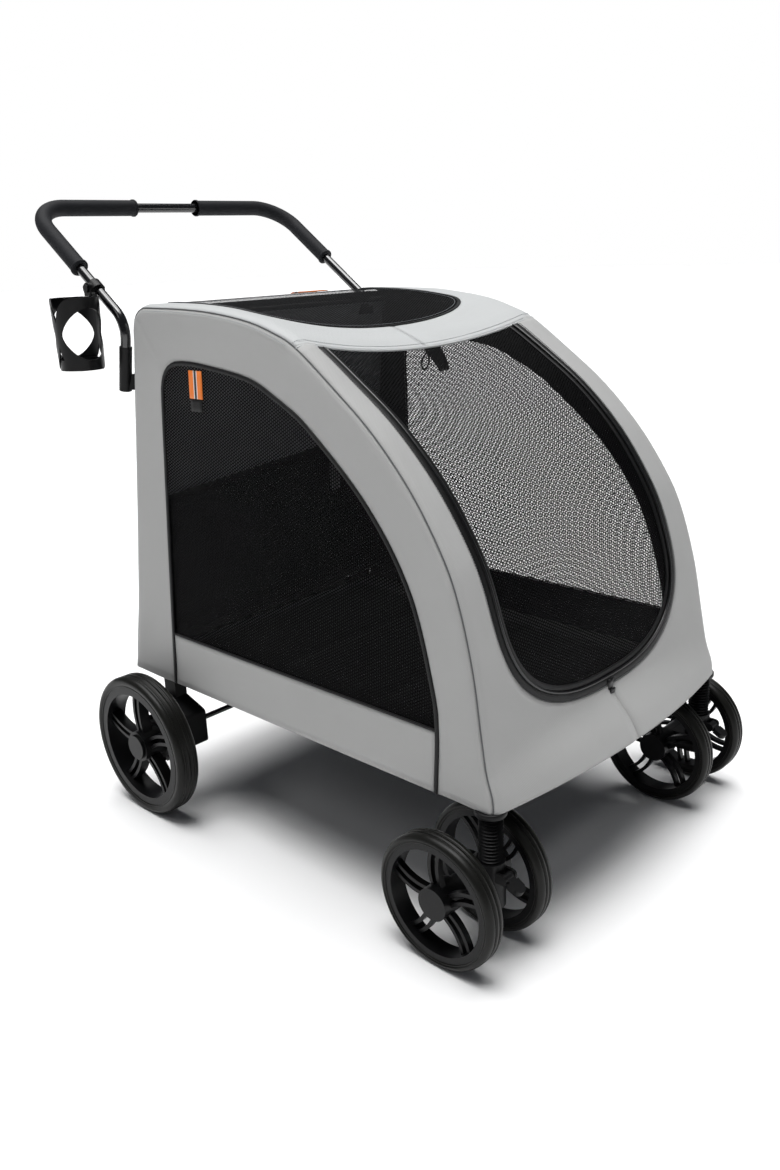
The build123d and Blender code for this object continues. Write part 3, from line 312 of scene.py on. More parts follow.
wheels = [
    ("rear_tyre", "rear_wheel", 120.65, 40.0, 16.0),
    ("outer_front_tyre", "outer_front_wheel", 95.25, 31.0, 11.5),
    ("inner_front_tyre", "inner_front_wheel", 95.25, 31.0, 11.5),
]
for side in ("left", "right"):
    for tyre_name, body, radius, width, depth in wheels:
        low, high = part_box(f"{side}_{tyre_name}")
        outline = tyre_profile(radius, width, depth)
        closed = outline + [(-across, out) for across, out in reversed(outline)]
        tyre = lathe(
            f"{side}_{tyre_name}_tread", [(across * mm, out * mm) for across, out in closed],
            (low + high) / 2, (1, 0, 0), 128,
        )
        tyre.data.materials.append(tyre_rubber)
        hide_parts(f"{side}_{tyre_name}")
        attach(tyre, f"{side}_{body}")

# ------------------------------------------------------------------ caster springs' bellows
# A ribbed rubber sleeve keeps grit off each caster's spring. It is dip-moulded, soft and almost
# matt, with a dusty bloom on the crests of its ribs.
bellows_rubber = grained("dipped_rubber", "#0b0b0c", 0.4, 1.2, 0.04, **satin)
dressed(bellows_rubber, *both("caster_bellows"))

# ------------------------------------------------------------------ handle grips
# Two sleeves of closed-cell foam pushed over the handle's bends. The skin is dull charcoal with
# fine open pores, and each end is cut square with a slightly swollen lip.
foam = grained("closed_cell_foam", "#1d1e21", 0.7, 1.0, 0.2, mottle=0.1, **satin)
dressed(foam, *both("grip"))
grip_radius, lip_width, lip_bore = 13.5, 5.0, 8.3
arm_lean = Vector((0, 0.811, 0.585))
sides = (("left", -1), ("right", 1))
for side_name, side in sides:
    low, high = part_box(f"{side_name}_grip")
    inner_x = low.x if side > 0 else high.x
    tube_x = side * (max(abs(low.x), abs(high.x)) - grip_radius * mm)
    bar_end = Vector((inner_x, high.y - grip_radius * mm, high.z - grip_radius * mm))
    arm_end = Vector((tube_x, low.y + grip_radius * mm * arm_lean.z, low.z + grip_radius * mm * arm_lean.y))
    for place_name, spot, run in (("bar", bar_end, Vector((side, 0, 0))), ("arm", arm_end, arm_lean)):
        lip = lathe(f"{side_name}_grip_{place_name}_lip", [(along * mm, out * mm) for along, out in (
            (0.0, lip_bore), (0.0, grip_radius + 0.6), (1.2, grip_radius + 1.3),
            (lip_width - 1.2, grip_radius + 1.3), (lip_width, grip_radius - 0.4), (lip_width, lip_bore),
        )], spot, run, 48)
        lip.data.materials.append(foam)
        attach(lip, "rear_frame")

# ------------------------------------------------------------------ cup holder
# A cage of two crossing bands and a foot ring, moulded in one piece of tough polypropylene. It
# keeps a soft gloss along its edges.
cage_plastic = grained("moulded_cage_plastic", "#0d0d0e", 0.33, 1.3, 0.05, **satin)
dressed(cage_plastic, "cup_cage")

# ------------------------------------------------------------------ cloth cabin: its lines
# The cabin is cut from polyester oxford cloth over the arch hoop. Its two flat sides meet the
# curved front and roof along one seam on each side, rolled over the hoop's tube.
hem_z, hem_half, side_lean = 222.0, 297.0, 0.0447
roll_radius = 16.5
roll_depth = roll_radius * (1 - math.sqrt(0.5))
visor_y, visor_z = -352.0, 784.0


def even_line(line, count):
    """The given line divided into count equal lengths."""
    line = np.array(line, float)
    lengths = np.r_[0, np.cumsum(np.linalg.norm(np.diff(line, axis=0), axis=1))]
    wanted = np.linspace(0, lengths[-1], count + 1)
    return np.stack([np.interp(wanted, lengths, line[:, k]) for k in range(line.shape[1])], 1)


def smooth_line(knots, count):
    """A smooth line through the knots, divided into count equal lengths."""
    p = np.array(knots, float)
    p = np.vstack([2 * p[0] - p[1], p, 2 * p[-1] - p[-2]])
    fine = []
    for a, b, c, d in zip(p, p[1:], p[2:], p[3:]):
        for t in np.linspace(0, 1, 20, endpoint=False):
            cubic = (2 * a - 5 * b + 4 * c - d) * t**2 + (3 * b - a - 3 * c + d) * t**3
            fine.append((2 * b + (c - a) * t + cubic) / 2)
    return even_line(fine + [p[-2]], count)


def joined(*runs):
    """Runs of points end to end, without the doubled points where they meet."""
    return np.vstack([runs[0], *[run[1:] for run in runs[1:]]])


def wall_x(z):
    """Half the cabin's width at a height: the sides lean in."""
    return hem_half - side_lean * (z - hem_z)


def inward(line):
    """Unit normals of a line in its plane, to its right as it is followed."""
    along = np.gradient(line, axis=0)
    along /= np.linalg.norm(along, axis=1)[:, None]
    return np.stack([along[:, 1], -along[:, 0]], 1)


rear_counts, corner_counts, roof_counts, front_counts = 30, 10, 30, 60
rear_knots = [(96, 222), (82, 291), (64, 443), (48, 602), (40, 690), (31, 775)]
corner_knots = [(31, 775), (29.5, 798), (20, 819.5), (0, 831), (-24, 832)]
roof_knots = [(-24, 832), (-100, 831), (-172, 827), (-250, 817), (-305, 803), (visor_y, visor_z)]
front_knots = [
    (visor_y, visor_z), (-425, 734), (-491, 684), (-555, 620), (-604, 553), (-634, 495),
    (-660, 410), (-676, 326), (-686, 274), (-696, 245), (-699, 222),
]
roof_and_front = smooth_line(roof_knots + front_knots[1:], 400)
turn_down = int(np.argmin(np.abs(roof_and_front - roof_knots[-1]).sum(axis=1)))
roof_line = even_line(roof_and_front[:turn_down + 1], roof_counts)
front_line = even_line(roof_and_front[turn_down:], front_counts)
ridge = joined(
    smooth_line(rear_knots, rear_counts), smooth_line(corner_knots, corner_counts), roof_line, front_line,
)
ridge_in = -inward(ridge)
ridge_in *= np.sign((ridge_in @ np.array([-1.0, 0.2]))[0])
ridge_lengths = np.r_[0, np.cumsum(np.linalg.norm(np.diff(ridge, axis=0), axis=1))]
visor_station = len(ridge) - len(front_line)
roof_sag, roof_sag_run, visor_sag_reach, hem_swell, swell_top = 26.0, 330.0, 0.4, 31.0, 289.0
corner_done_z, corner_done_y = 800.0, -100.0
rest_width = 22.0  # the cloth lies on the hoop's tube over this width before it sags


def swell_at(station):
    """How far the cloth's middle stands off the ridge line: it sags on top and bows at the hem."""
    y, z = ridge[station]
    if station < visor_station:
        back = min(1.0, max(0.0, (y - visor_y) / roof_sag_run))
        return -roof_sag * (1 - back**2) ** 2 if z > corner_done_z or y < corner_done_y else 0.0
    visor_at = ridge_lengths[visor_station]
    down = (ridge_lengths[station] - visor_at) / (ridge_lengths[-1] - visor_at)
    sag = -roof_sag * max(0.0, 1 - down / visor_sag_reach) ** 2
    return sag + hem_swell * min(1.0, max(0.0, (swell_top - z) / (swell_top - hem_z)))


swell = np.array([swell_at(station) for station in range(len(ridge))])


def skin_point(x, along, off=0.0):
    """A point off the cloth that runs over the roof and down the front, along the ridge line."""
    y, z = (float(np.interp(along, ridge_lengths, ridge[:, k])) for k in (0, 1))
    in_y, in_z = (float(np.interp(along, ridge_lengths, ridge_in[:, k])) for k in (0, 1))
    half = wall_x(z)
    seam = half - roll_depth
    rise = float(np.interp(along, ridge_lengths, swell))
    rise *= max(0.0, 1 - (x / (seam - rest_width if rise < 0 else seam)) ** 2)
    edge = roll_radius - (half - abs(x))
    if edge > 0:
        rise -= roll_radius - math.sqrt(max(0.0, roll_radius**2 - edge**2))
    rise += off
    return x, y - in_y * rise, z - in_z * rise


def ripple(point, length, height):
    """How far the cloth stands off its even shape at a point, in millimetres."""
    return noise.noise(Vector(point) / length) * height


def carried(made, body=None):
    """Attach a piece to its body, if it has one, or else bake its placement into its mesh."""
    if body:
        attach(made, body)
    else:
        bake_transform(made)
    return made


def cloth_piece(name, slot_name, rows, threads, outer, inner=None, thick=1.6, body=None, face=None):
    """A sheet of cloth from a grid of points in millimetres. threads are its flat coordinates, and face
    is the way its outer side looks: if none is given, away from the cabin's middle."""
    cabin_middle = place(0, -300, 480)
    made = mesh_object(name, [place(*p) for row in rows for p in row], quads(len(rows), len(rows[0])))
    mesh = made.data
    outward = sum((p.center - cabin_middle).dot(p.normal) * p.area for p in mesh.polygons)
    if face is not None:
        outward = sum(p.normal.dot(Vector(face)) * p.area for p in mesh.polygons)
    if outward < 0:
        mesh.flip_normals()
    layer = mesh.uv_layers.new(name="thread")
    flat = [Vector(t) * mm for row in threads for t in row]
    for loop in mesh.loops:
        layer.data[loop.index].uv = flat[loop.vertex_index]
    mesh.materials.append(outer)
    mesh.materials.append(inner or outer)
    if thick:
        solid = made.modifiers.new("thickness", "SOLIDIFY")
        solid.thickness = thick * mm
        solid.offset = -1
        solid.material_offset = 1 if inner else 0
        solid.use_even_offset = False
    return carried(made, body)


def thread_sockets(tree):
    """The cloth's flat coordinates along its threads, as X and Y sockets."""
    flat = add(tree, "UVMap", {"uv_map": "thread"}, {}).outputs[0]
    return add(tree, "SeparateXYZ", {}, {0: flat}).outputs


slub_mm, cloth_cloud_mm = 2.38, 200.0


def woven(name, colour, thread_mm, depth, roughness, mottle=0.06, sheen=0.1, gloss=0.3):
    """Plain-woven cloth: warp and weft cross over and under, and the dye is faintly uneven."""
    material, tree = new_material(name)
    threads = thread_sockets(tree)
    turns = math.pi / (thread_mm * mm)
    waves = []
    for axis in ("X", "Y"):
        angle = add(tree, "Math", {"operation": "MULTIPLY"}, {0: threads[axis], 1: turns})
        waves.append(add(tree, "Math", {"operation": "SINE"}, {0: angle.outputs[0]}).outputs[0])
    cross = add(tree, "Math", {"operation": "MULTIPLY"}, {0: waves[0], 1: waves[1]}).outputs[0]
    where = add(tree, "TexCoord", {}, {}).outputs["Object"]
    slub = add(tree, "TexNoise", {}, {"Vector": where, "Scale": 1 / (slub_mm * mm), "Detail": 2})
    height = add(tree, "Math", {"operation": "MULTIPLY_ADD"}, {0: slub.outputs["Fac"], 1: 0.8, 2: cross})
    bump = add(tree, "Bump", {}, {"Height": height.outputs[0], "Distance": depth * mm, "Strength": 0.6})
    weave = add(tree, "MapRange", {}, {
        "Value": cross, "From Min": -1, "From Max": 1, "To Min": 0.94, "To Max": 1.04,
    })
    shade = add(tree, "Mix", {"data_type": "RGBA", "blend_type": "MULTIPLY"}, {
        0: 1.0, 6: clouded(tree, where, cloth_cloud_mm, 4, colour, mottle), 7: weave.outputs[0],
    })
    shader = add(tree, "BsdfPrincipled", {}, {
        "Base Color": shade.outputs[2], "Roughness": roughness, "Normal": bump.outputs[0],
        "Sheen Weight": sheen, "Sheen Roughness": 0.5, "IOR": 1.5, "Specular IOR Level": gloss,
    })
    add(tree, "OutputMaterial", {}, {"Surface": shader.outputs[0]})
    return material


# the threads are 0.5 mm apart on the real cloth, and drawn at 1.3 mm so that they show at all
oxford = woven("polyester_oxford", "#b6b8b8", 1.3, 0.10, 0.62)
# the sides and the front take a darker copy of the same oxford cloth: painted shade, beside the paler roof
# and back
oxford_painted_shade = woven("polyester_oxford_painted_shade", "#a4a4a3", 1.3, 0.10, 0.62)
lining = woven("black_lining_cloth", "#0a0a0b", 1.3, 0.10, 0.75, sheen=0.0, gloss=0.1)
# a copy of the lining painted paler, charcoal, to stand in for the light that falls through the roof net:
# painted light
lining_painted_light = woven("lining_cloth_painted_light", "#727375", 1.3, 0.10, 0.75, sheen=0.0, gloss=0.1)

# ------------------------------------------------------------------ side panels
# Each side is one arch of grey oxford cloth round a mesh window, lined in black, with a seam from
# the top rear corner to the window. A straight band of the same cloth closes it under the window.
window_foot_rear, window_foot_front = -31.0, -603.0
window_low = 310.0
inner_line = joined(
    smooth_line([(-30, 222), (-33, 310), (-40, 510), (-47, 690)], rear_counts),
    smooth_line([(-47, 690), (-50, 716), (-62, 737), (-82, 747), (-104, 749)], corner_counts),
    smooth_line([(-104, 749), (-150, 747), (-255, 733), (-320, 707)], roof_counts),
    smooth_line([
        (-320, 707), (-373, 677), (-480, 588), (-555, 487), (-594, 372), (-604, 310), (-603, 222),
    ], front_counts),
)
roll_steps = (45, 30, 15, 0)
last_roll, fill_steps = len(roll_steps) - 1, 9
edge_tuck = -1.3  # a cut edge is turned in under its seam by this much
seam_station = rear_counts + 5


def side_rows(side):
    """The side arch's grid: along the ridge, and in from the rolled edge to the window."""
    rows, threads = [], []
    for station, (edge, normal, window) in enumerate(zip(ridge, ridge_in, inner_line)):
        row, flat, spots = [], [], []
        for turn in np.radians(roll_steps):
            across, deep = roll_radius * (1 - np.sin(turn)), roll_radius * (1 - np.cos(turn))
            spots.append((edge + normal * across, deep))
        start = spots[-1][0]
        for step in range(1, fill_steps + 1):
            spots.append((start + (window - start) * step / fill_steps, 0.0))
        for index, (spot, depth) in enumerate(spots):
            y, z = spot
            if station in (0, len(ridge) - 1):
                z = hem_z
            share = max(0.0, (index - last_roll) / fill_steps)
            wave = ripple((side * 400, y, z), length=90, height=2.2) * math.sin(math.pi * share)
            tight = -2.0 * math.exp(-((station - seam_station) / 0.8) ** 2) if index >= last_roll else 0.0
            curl = edge_tuck if index == 0 else 0.0
            x = wall_x(z) - depth + wave + tight + curl
            row.append((side * x, y, z))
            flat.append((y, z))
        rows.append(row)
        threads.append(flat)
    return rows, threads


band_height = window_low - hem_z
# each side's panel and band are cut from the darker copy of the cloth, which is painted shade
for side_name, side in sides:
    panel = cloth_piece(f"{side_name}_side_panel", "grey_polyester", *side_rows(side), oxford_painted_shade, lining)
    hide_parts(f"{side_name}_side_cover")
    band_y = np.linspace(window_foot_rear, window_foot_front, 60)
    band_z = np.linspace(hem_z, window_low, 9)
    threads = [[(y, z) for z in band_z] for y in band_y]
    rows = []
    for thread in threads:
        waves = [
            ripple((side * 300, y, z), length=70, height=1.8) * math.sin(math.pi * (z - hem_z) / band_height)
            for y, z in thread
        ]
        rows.append([(side * (wall_x(z) + wave), y, z) for wave, (y, z) in zip(waves, thread)])
    cloth_piece(f"{side_name}_lower_band", "grey_polyester", rows, threads, oxford_painted_shade, lining)

# ------------------------------------------------------------------ mesh windows
# The windows are black polyester mesh, knitted with small round holes over about half of it, and
# held flat by the binding round it. What is behind it shows through, darkened.
mesh_hole_mm = 4.7  # drawn half as large again as the real holes, so that they show


def knitted(name, colour, hole_mm, open_share):
    """Black knitted mesh: rows of round holes, every other row shifted by half a hole."""
    material, tree = new_material(name)
    threads = thread_sockets(tree)
    turns = 2 * math.pi / (hole_mm * mm) * 1.1547
    waves = []
    for lean in np.radians((-60, 0, 60)):
        part = add(tree, "Math", {"operation": "MULTIPLY"}, {0: threads["X"], 1: turns * math.cos(lean)})
        angle = add(tree, "Math", {"operation": "MULTIPLY_ADD"}, {
            0: threads["Y"], 1: turns * math.sin(lean), 2: part.outputs[0],
        })
        waves.append(add(tree, "Math", {"operation": "COSINE"}, {0: angle.outputs[0]}).outputs[0])
    two = add(tree, "Math", {"operation": "ADD"}, {0: waves[0], 1: waves[1]})
    height = add(tree, "Math", {"operation": "ADD"}, {0: two.outputs[0], 1: waves[2]})
    closed = add(tree, "MapRange", {}, {
        "Value": height.outputs[0], "From Min": open_share + 0.25, "From Max": open_share - 0.25,
        "To Min": 0.12, "To Max": 0.95,
    })
    shader = add(tree, "BsdfPrincipled", {}, {
        "Base Color": linear(colour), "Roughness": 0.6, "Alpha": closed.outputs[0], "IOR": 1.5,
        "Specular IOR Level": 0.06,
    })
    add(tree, "OutputMaterial", {}, {"Surface": shader.outputs[0]})
    return material


window_mesh = knitted("knitted_window_mesh", "#070708", mesh_hole_mm, -0.08)
glazed = [i for i, (y, z) in enumerate(inner_line) if z >= window_low - 1]
window_steps = 24
for side_name, side in sides:
    rows = []
    for index in glazed:
        top_y, top_z = inner_line[index]
        share = (index - glazed[0]) / (glazed[-1] - glazed[0])
        foot_y = window_foot_rear + (window_foot_front - window_foot_rear) * share
        row = []
        for step in range(window_steps + 1):
            down = step / window_steps
            y, z = top_y + (foot_y - top_y) * down, top_z + (window_low - top_z) * down
            slack = 1.5 * math.sin(math.pi * down) + ripple((side * 200, y, z), length=110, height=1.5)
            row.append((side * (wall_x(z) - 1.2 - slack), y, z))
        rows.append(row)
    threads = [[(y, z) for x, y, z in row] for row in rows]
    pane = cloth_piece(f"{side_name}_window_net", "black_mesh", rows, threads, window_mesh, thick=0)
    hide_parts(f"{side_name}_mesh_window")

# ------------------------------------------------------------------ binding of the windows
# A folded black ribbed tape is sewn over the raw edge of each window, and goes on down to the hem.
# A thin dark grey cord along each of the cabin's rolled edges is painted shadow, standing in for the shade
# in the seam's sunk groove.
tape_black = woven("ribbed_binding_tape", "#0b0b0c", 1.0, 0.12, 0.5, sheen=0.0, gloss=0.25)
# a dark grey cord along each rolled edge stands in for the shade in its seam's groove: painted shadow
seam_painted_shadow = grained("shaded_seam_thread", "#5a5b5c", 0.7, 0.6, 0.05, IOR=1.5)


def swept(name, line, facing, section, material, body=None):
    """A bar of cloth or plastic along a line: section is a closed (across, out) outline."""
    line = [Vector(p) for p in line]
    count, points = len(section), []
    for index, (spot, normal) in enumerate(zip(line, np.broadcast_to(facing, (len(line), 3)))):
        along = line[min(index + 1, len(line) - 1)] - line[max(index - 1, 0)]
        normal = Vector(normal)
        across = along.cross(normal).normalized()
        normal = across.cross(along).normalized()
        points += [spot + across * a + normal * out for a, out in section]
    ends = tuple(range(count)), tuple(range(len(points) - 1, len(points) - 1 - count, -1))
    faces = [*quads(len(line), count, ring=True), *ends]
    made = mesh_object(name, [place(*p) for p in points], faces)
    mesh = made.data
    layer = mesh.uv_layers.new(name="thread")
    lengths = np.r_[0, np.cumsum([(b - a).length for a, b in zip(line, line[1:])])]
    for loop in mesh.loops:
        row, column = divmod(loop.vertex_index, count)
        layer.data[loop.index].uv = (section[column][0] * mm, float(lengths[row]) * mm)
    bm = bmesh.new()
    bm.from_mesh(mesh)
    bmesh.ops.recalc_face_normals(bm, faces=bm.faces)
    bm.to_mesh(mesh)
    bm.free()
    mesh.materials.append(material)
    return carried(made, body)


def flat_section(width, height, base=0.0):
    """A flat tape's section with softened edges, standing on the surface."""
    half, soft = width / 2, min(height, width) * 0.35
    return [
        (-half, base), (-half, base + height - soft), (-half + soft, base + height),
        (half - soft, base + height), (half, base + height - soft), (half, base),
    ]


def round_section(radius, count=10, base=0.0):
    """A round cord's section, its middle at the given height."""
    return [
        (radius * math.cos(2 * math.pi * k / count), base + radius * math.sin(2 * math.pi * k / count))
        for k in range(count)
    ]


sill_y = np.linspace(window_foot_rear, window_foot_front, 60)
for side_name, side in sides:
    facing = (side, 0, side_lean)
    line = [(side * wall_x(z), y, z) for y, z in inner_line]
    tape = flat_section(6.5, 2.4, -0.6)
    swept(f"{side_name}_window_binding", line, facing, tape, tape_black)
    line = [(side * wall_x(window_low), y, window_low) for y in sill_y]
    tape = flat_section(4.0, 1.6, -0.6)
    swept(f"{side_name}_sill_binding", line, facing, tape, tape_black)
    # painted shadow along the seam of each rolled edge
    line = [(side * (wall_x(z) - roll_depth), y, z) for y, z in ridge + ridge_in * roll_depth]
    facing = [(side, -a, -b) for a, b in ridge_in]
    swept(f"{side_name}_seam_thread", line, facing, round_section(0.9, 6, -0.2), seam_painted_shadow)

# ------------------------------------------------------------------ front panel
# The front is cut in two halves that meet in a seam under the door. Each half runs down beside
# the door opening and turns along the hem, which bows out between the casters.
front_lengths = ridge_lengths[visor_station:] - ridge_lengths[visor_station]
front_total = front_lengths[-1]


def front_point(x, along, off=0.0):
    """A point off the front's surface: x across, and along the ridge line from the visor."""
    return skin_point(x, along + ridge_lengths[visor_station], off)


def along_at(height):
    """How far down the ridge line a height lies."""
    return float(np.interp(-height, -front_line[:, 1], front_lengths))


opening_half = {"left": 233.0, "right": 217.0}
opening_straight, opening_deep, opening_power = 440.0, 174.0, 2.6
door_end = opening_straight + opening_deep


def full_curve(half, start, depth, power, count):
    """A quarter of a full, squarish curve, as (x, along), from (half, start) round to the middle."""
    turns = np.linspace(0, math.pi / 2, count)
    curve = [(half * math.cos(t) ** (2 / power), start + depth * math.sin(t) ** (2 / power)) for t in turns]
    curve[-1] = (0.0, start + depth)
    return curve


def opening_edge(half):
    """Half the door opening's edge, (x, along): down from the visor and round to the middle."""
    straight = even_line([(half, 0), (half, opening_straight)], 40)
    curve = full_curve(half, opening_straight, opening_deep, opening_power, 120)
    return joined(straight, even_line(curve[:66], 20), even_line(curve[65:], 12))


def mirrored(line):
    """A line from the right side to the middle, and on along its mirror image."""
    return np.vstack([line, (np.array(line) * [-1, 1])[::-1][1:]])


def front_facing(along):
    """The direction the front faces at a length along it."""
    return (0, *(-float(np.interp(along, front_lengths, ridge_in[visor_station:, k])) for k in (0, 1)))


def seam_x(along):
    """Where the side seam lies across the front, at a length along it."""
    z = np.interp(along, front_lengths, front_line[:, 1])
    return wall_x(z) - roll_depth


legs = [(seam_x(a), a) for a in np.linspace(0, front_total - 60, 200)]
last = [(seam_x(a), a) for a in np.linspace(front_total - 60, front_total, 12)]
corner_x = seam_x(front_total)
outer_front = joined(
    even_line(legs, 40),
    joined(even_line(last, 10), even_line([(corner_x, front_total), (corner_x - 60, front_total)], 10)),
    even_line([(corner_x - 60, front_total), (0, front_total)], 12),
)


def half_rows(side, outer, inner, shares, surface, wave_at, wave_height, side_seam_rows, middle_tuck):
    """A half panel's grid, from its outer line in to its inner one, with soft waves between them. It is
    tucked in along the side seam, over its first rows, and along the middle seam, which is its last."""
    rows, threads = [], []
    for station, (outer_spot, inner_spot) in enumerate(zip(outer, inner)):
        row, flat = [], []
        for share in shares:
            x, along = outer_spot + (inner_spot - outer_spot) * share
            wave = ripple((side * x, along, wave_at), 80, wave_height) * math.sin(math.pi * share)
            tuck = edge_tuck if share == 0 and station < side_seam_rows else 0.0
            if station == len(outer) - 1:
                tuck = middle_tuck
            row.append(surface(side * x, along, wave + tuck))
            flat.append((x, along))
        rows.append(row)
        threads.append(flat)
    return rows, threads


front_shares = [(step / 14) ** 1.35 for step in range(15)]
for side_name, side in sides:
    opening = opening_edge(opening_half[side_name])
    rows, threads = half_rows(
        side, outer_front, opening, front_shares, front_point,
        wave_at=50, wave_height=2.0, side_seam_rows=50, middle_tuck=-1.0,
    )
    # the front halves are cut from the darker copy of the cloth too, which is painted shade
    half_front = cloth_piece(
        f"{side_name}_front_half", "warm_grey_polyester", rows, threads, oxford_painted_shade, lining,
    )
    if side < 0:
        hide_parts("front_cover")

# ------------------------------------------------------------------ front door and its zip
# The door is one sheet of the same knitted mesh. A coil zip on black tape runs round it, sewn to
# the cabin on one side and to the door on the other, with the pull tab at the bottom.
door_rows = 80
rows, threads = [], []
for along in even_line([(0.0, 6.0), (0.0, door_end - 5)], door_rows)[:, 1]:
    share = (1 - (max(0.0, along - opening_straight) / opening_deep) ** opening_power) ** (1 / opening_power)
    ends = 5 - opening_half["left"] * share, opening_half["right"] * share - 5
    row = [front_point(x, along, -2.5) for x in np.linspace(*ends, 41)]
    rows.append(row)
    threads.append([(p[0], along) for p in row])
door_net = cloth_piece("door_net", "black_mesh", rows, threads, window_mesh, thick=0, body="door")
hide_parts("front_door")

left_edge, right_edge = (opening_edge(opening_half[side_name]) for side_name in ("left", "right"))
full_opening = np.vstack([right_edge, (left_edge * [-1, 1])[::-1][1:]])


tuck_reach = 9.0  # over this length the tapes' ends tuck in under the visor


def round_opening(inset, off):
    """The line round the opening, so far inside its edge and off its surface, with its normals."""
    line, facing = [], []
    for index, (x, along) in enumerate(full_opening):
        before = full_opening[max(index - 1, 0)]
        after = full_opening[min(index + 1, len(full_opening) - 1)]
        run = (after - before) / np.linalg.norm(after - before)
        spot = np.array([x, along]) + np.array([-run[1], run[0]]) * inset
        spot[1] = max(2.0, spot[1])
        line.append(front_point(spot[0], spot[1], off - max(0.0, tuck_reach - spot[1]) * 0.6))
        facing.append(front_facing(spot[1]))
    return line, facing


line, facing = round_opening(5.0, 0.0)
swept("opening_binding", line, facing, flat_section(11.0, 1.8, -1.2), tape_black)
line, facing = round_opening(17.5, -1.8)
swept("door_binding", line, facing, flat_section(9.0, 1.8, -0.8), tape_black, body="door")
coil_plastic = grained("zip_coil_nylon", "#0c0c0d", 0.3, 0.8, 0.05, IOR=1.53)
line, facing = round_opening(11.8, 0.2)
swept("zip_coil", line, facing, round_section(2.0, 8, 0.3), coil_plastic)
pull_metal = grained("lacquered_zinc_pull", "#070708", 0.35, 0.7, 0.03, IOR=1.5)


def slab(name, slot_name, points, thick, material, body):
    """A thin closed strip through rows of points, with the thickness given in millimetres."""
    threads = [[(x, z + y) for x, y, z in row] for row in points]
    return cloth_piece(name, slot_name, points, threads, material, thick=thick, body=body)


puller_x, slider_z, tab_foot = -3.0, 297.0, 268.5
slider_y = front_point(puller_x, along_at(slider_z))[1]
slider = [
    [(puller_x + a, slider_y - 3.4 + 1.6 * abs(a) / 5, z) for a in (-6.5, -3, 3, 6.5)]
    for z in (288, 293, 299, 305)
]
slab("zip_slider", "zip_metal", slider, 4.0, pull_metal, "door")
tab = [
    [(puller_x + a, slider_y - 6.0 + (290 - z) * 0.22, z) for a in (-5.2, -2, 2, 5.2)]
    for z in np.linspace(291, tab_foot, 6)
]
pull_tab = slab("zip_pull_tab", "zip_metal", tab, 2.6, pull_metal, "zip_puller")
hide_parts("zip_puller")

# ------------------------------------------------------------------ roof
# The roof is sewn in two halves round a D-shaped black mesh panel. It sags a little between the
# hoop's tubes, and its front edge is turned under as a visor over the door.
roof_rear, visor_bulge, upward = 6.0, 9.0, (0, 0, 1)
panel_half, panel_straight, panel_depth = 215.0, -197.0, 85.0
over_top = slice(rear_counts + 4, len(ridge) - 40)  # from the rear corner to below the visor


def roof_point(x, y, off=0.0):
    """A point off the roof's surface, at a distance back along it."""
    along = float(np.interp(-y, -ridge[over_top, 0], ridge_lengths[over_top]))
    return skin_point(x, along, off)


def roof_seam_x(y):
    """Where the side seam lies across the roof."""
    return wall_x(float(np.interp(-y, -ridge[over_top, 0], ridge[over_top, 1]))) - roll_depth


def panel_half_at(y):
    """Half the D panel's width at a distance along the roof."""
    past = max(0.0, panel_straight - y) / panel_depth
    return panel_half * max(0.0, 1 - min(1.0, past) ** 3) ** (1 / 3)


visor_x = roof_seam_x(visor_y)
d_corner = full_curve(panel_half, panel_straight, -panel_depth, 3, 60)
split = 44
d_line = joined(
    even_line([(panel_half, roof_rear), (panel_half, panel_straight)], 20),
    even_line(d_corner[:split], 16),
    even_line(d_corner[split - 1:], 14),
)
front_edge = [(x, visor_y - visor_bulge * (1 - (x / visor_x) ** 2)) for x in np.linspace(visor_x, 0, 80)]
outer_roof = joined(
    even_line([(roof_seam_x(y), y) for y in np.linspace(roof_rear, -250, 60)], 20),
    even_line([(roof_seam_x(y), y) for y in np.linspace(-250, visor_y, 30)], 10),
    even_line(front_edge[:28], 6), even_line(front_edge[27:], 14),
)


roof_shares = [(step / 10) ** 1.3 for step in range(11)]
for side_name, side in sides:
    rows, threads = half_rows(
        side, outer_roof, d_line, roof_shares, roof_point,
        wave_at=700, wave_height=1.6, side_seam_rows=30, middle_tuck=-0.9,
    )
    half_roof = cloth_piece(
        f"{side_name}_roof_half", "grey_polyester", rows, threads, oxford, lining, face=upward,
    )
    if side < 0:
        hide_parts("roof_cover")

roof_mesh = knitted("knitted_roof_mesh", "#131314", mesh_hole_mm, 0.3)
rows, threads = [], []
panel_tip = panel_straight - panel_depth + 1
for y in [*np.linspace(roof_rear, panel_straight, 25), *np.linspace(panel_straight, panel_tip, 25)[1:]]:
    half = panel_half_at(y) + 1
    row = [roof_point(x, y, -0.6) for x in np.linspace(-half, half, 41)]
    rows.append(row)
    threads.append([(p[0], y) for p in row])
d_panel = cloth_piece("roof_net", "black_mesh", rows, threads, roof_mesh, thick=0, face=upward)
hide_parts("roof_panel")
d_round = mirrored(d_line)
line = [roof_point(x, y) for x, y in d_round]
swept("roof_net_binding", line, upward, flat_section(6.0, 1.6, -0.6), tape_black)
line = [roof_point(x, y, -1.0) for x, y in mirrored(front_edge)]
swept("visor_binding", line, upward, flat_section(5.0, 3.2, -2.2), oxford)

# ------------------------------------------------------------------ rear panel
# The back is one sheet of the grey cloth, sewn between the two sides from the hem to the top
# corner. It bows a little over the two posts behind it.
rear_line = smooth_line(rear_knots + corner_knots[1:3], 44)
rear_steps, rear_top_z = 26, 817.0
post_share, post_reach = 0.84, 0.13  # where the posts stand across the back, and how wide each bows it
post_bows = ((285, 42, 1.0), (430, 100, 0.4))  # each bow's height, its reach up and down, and its share


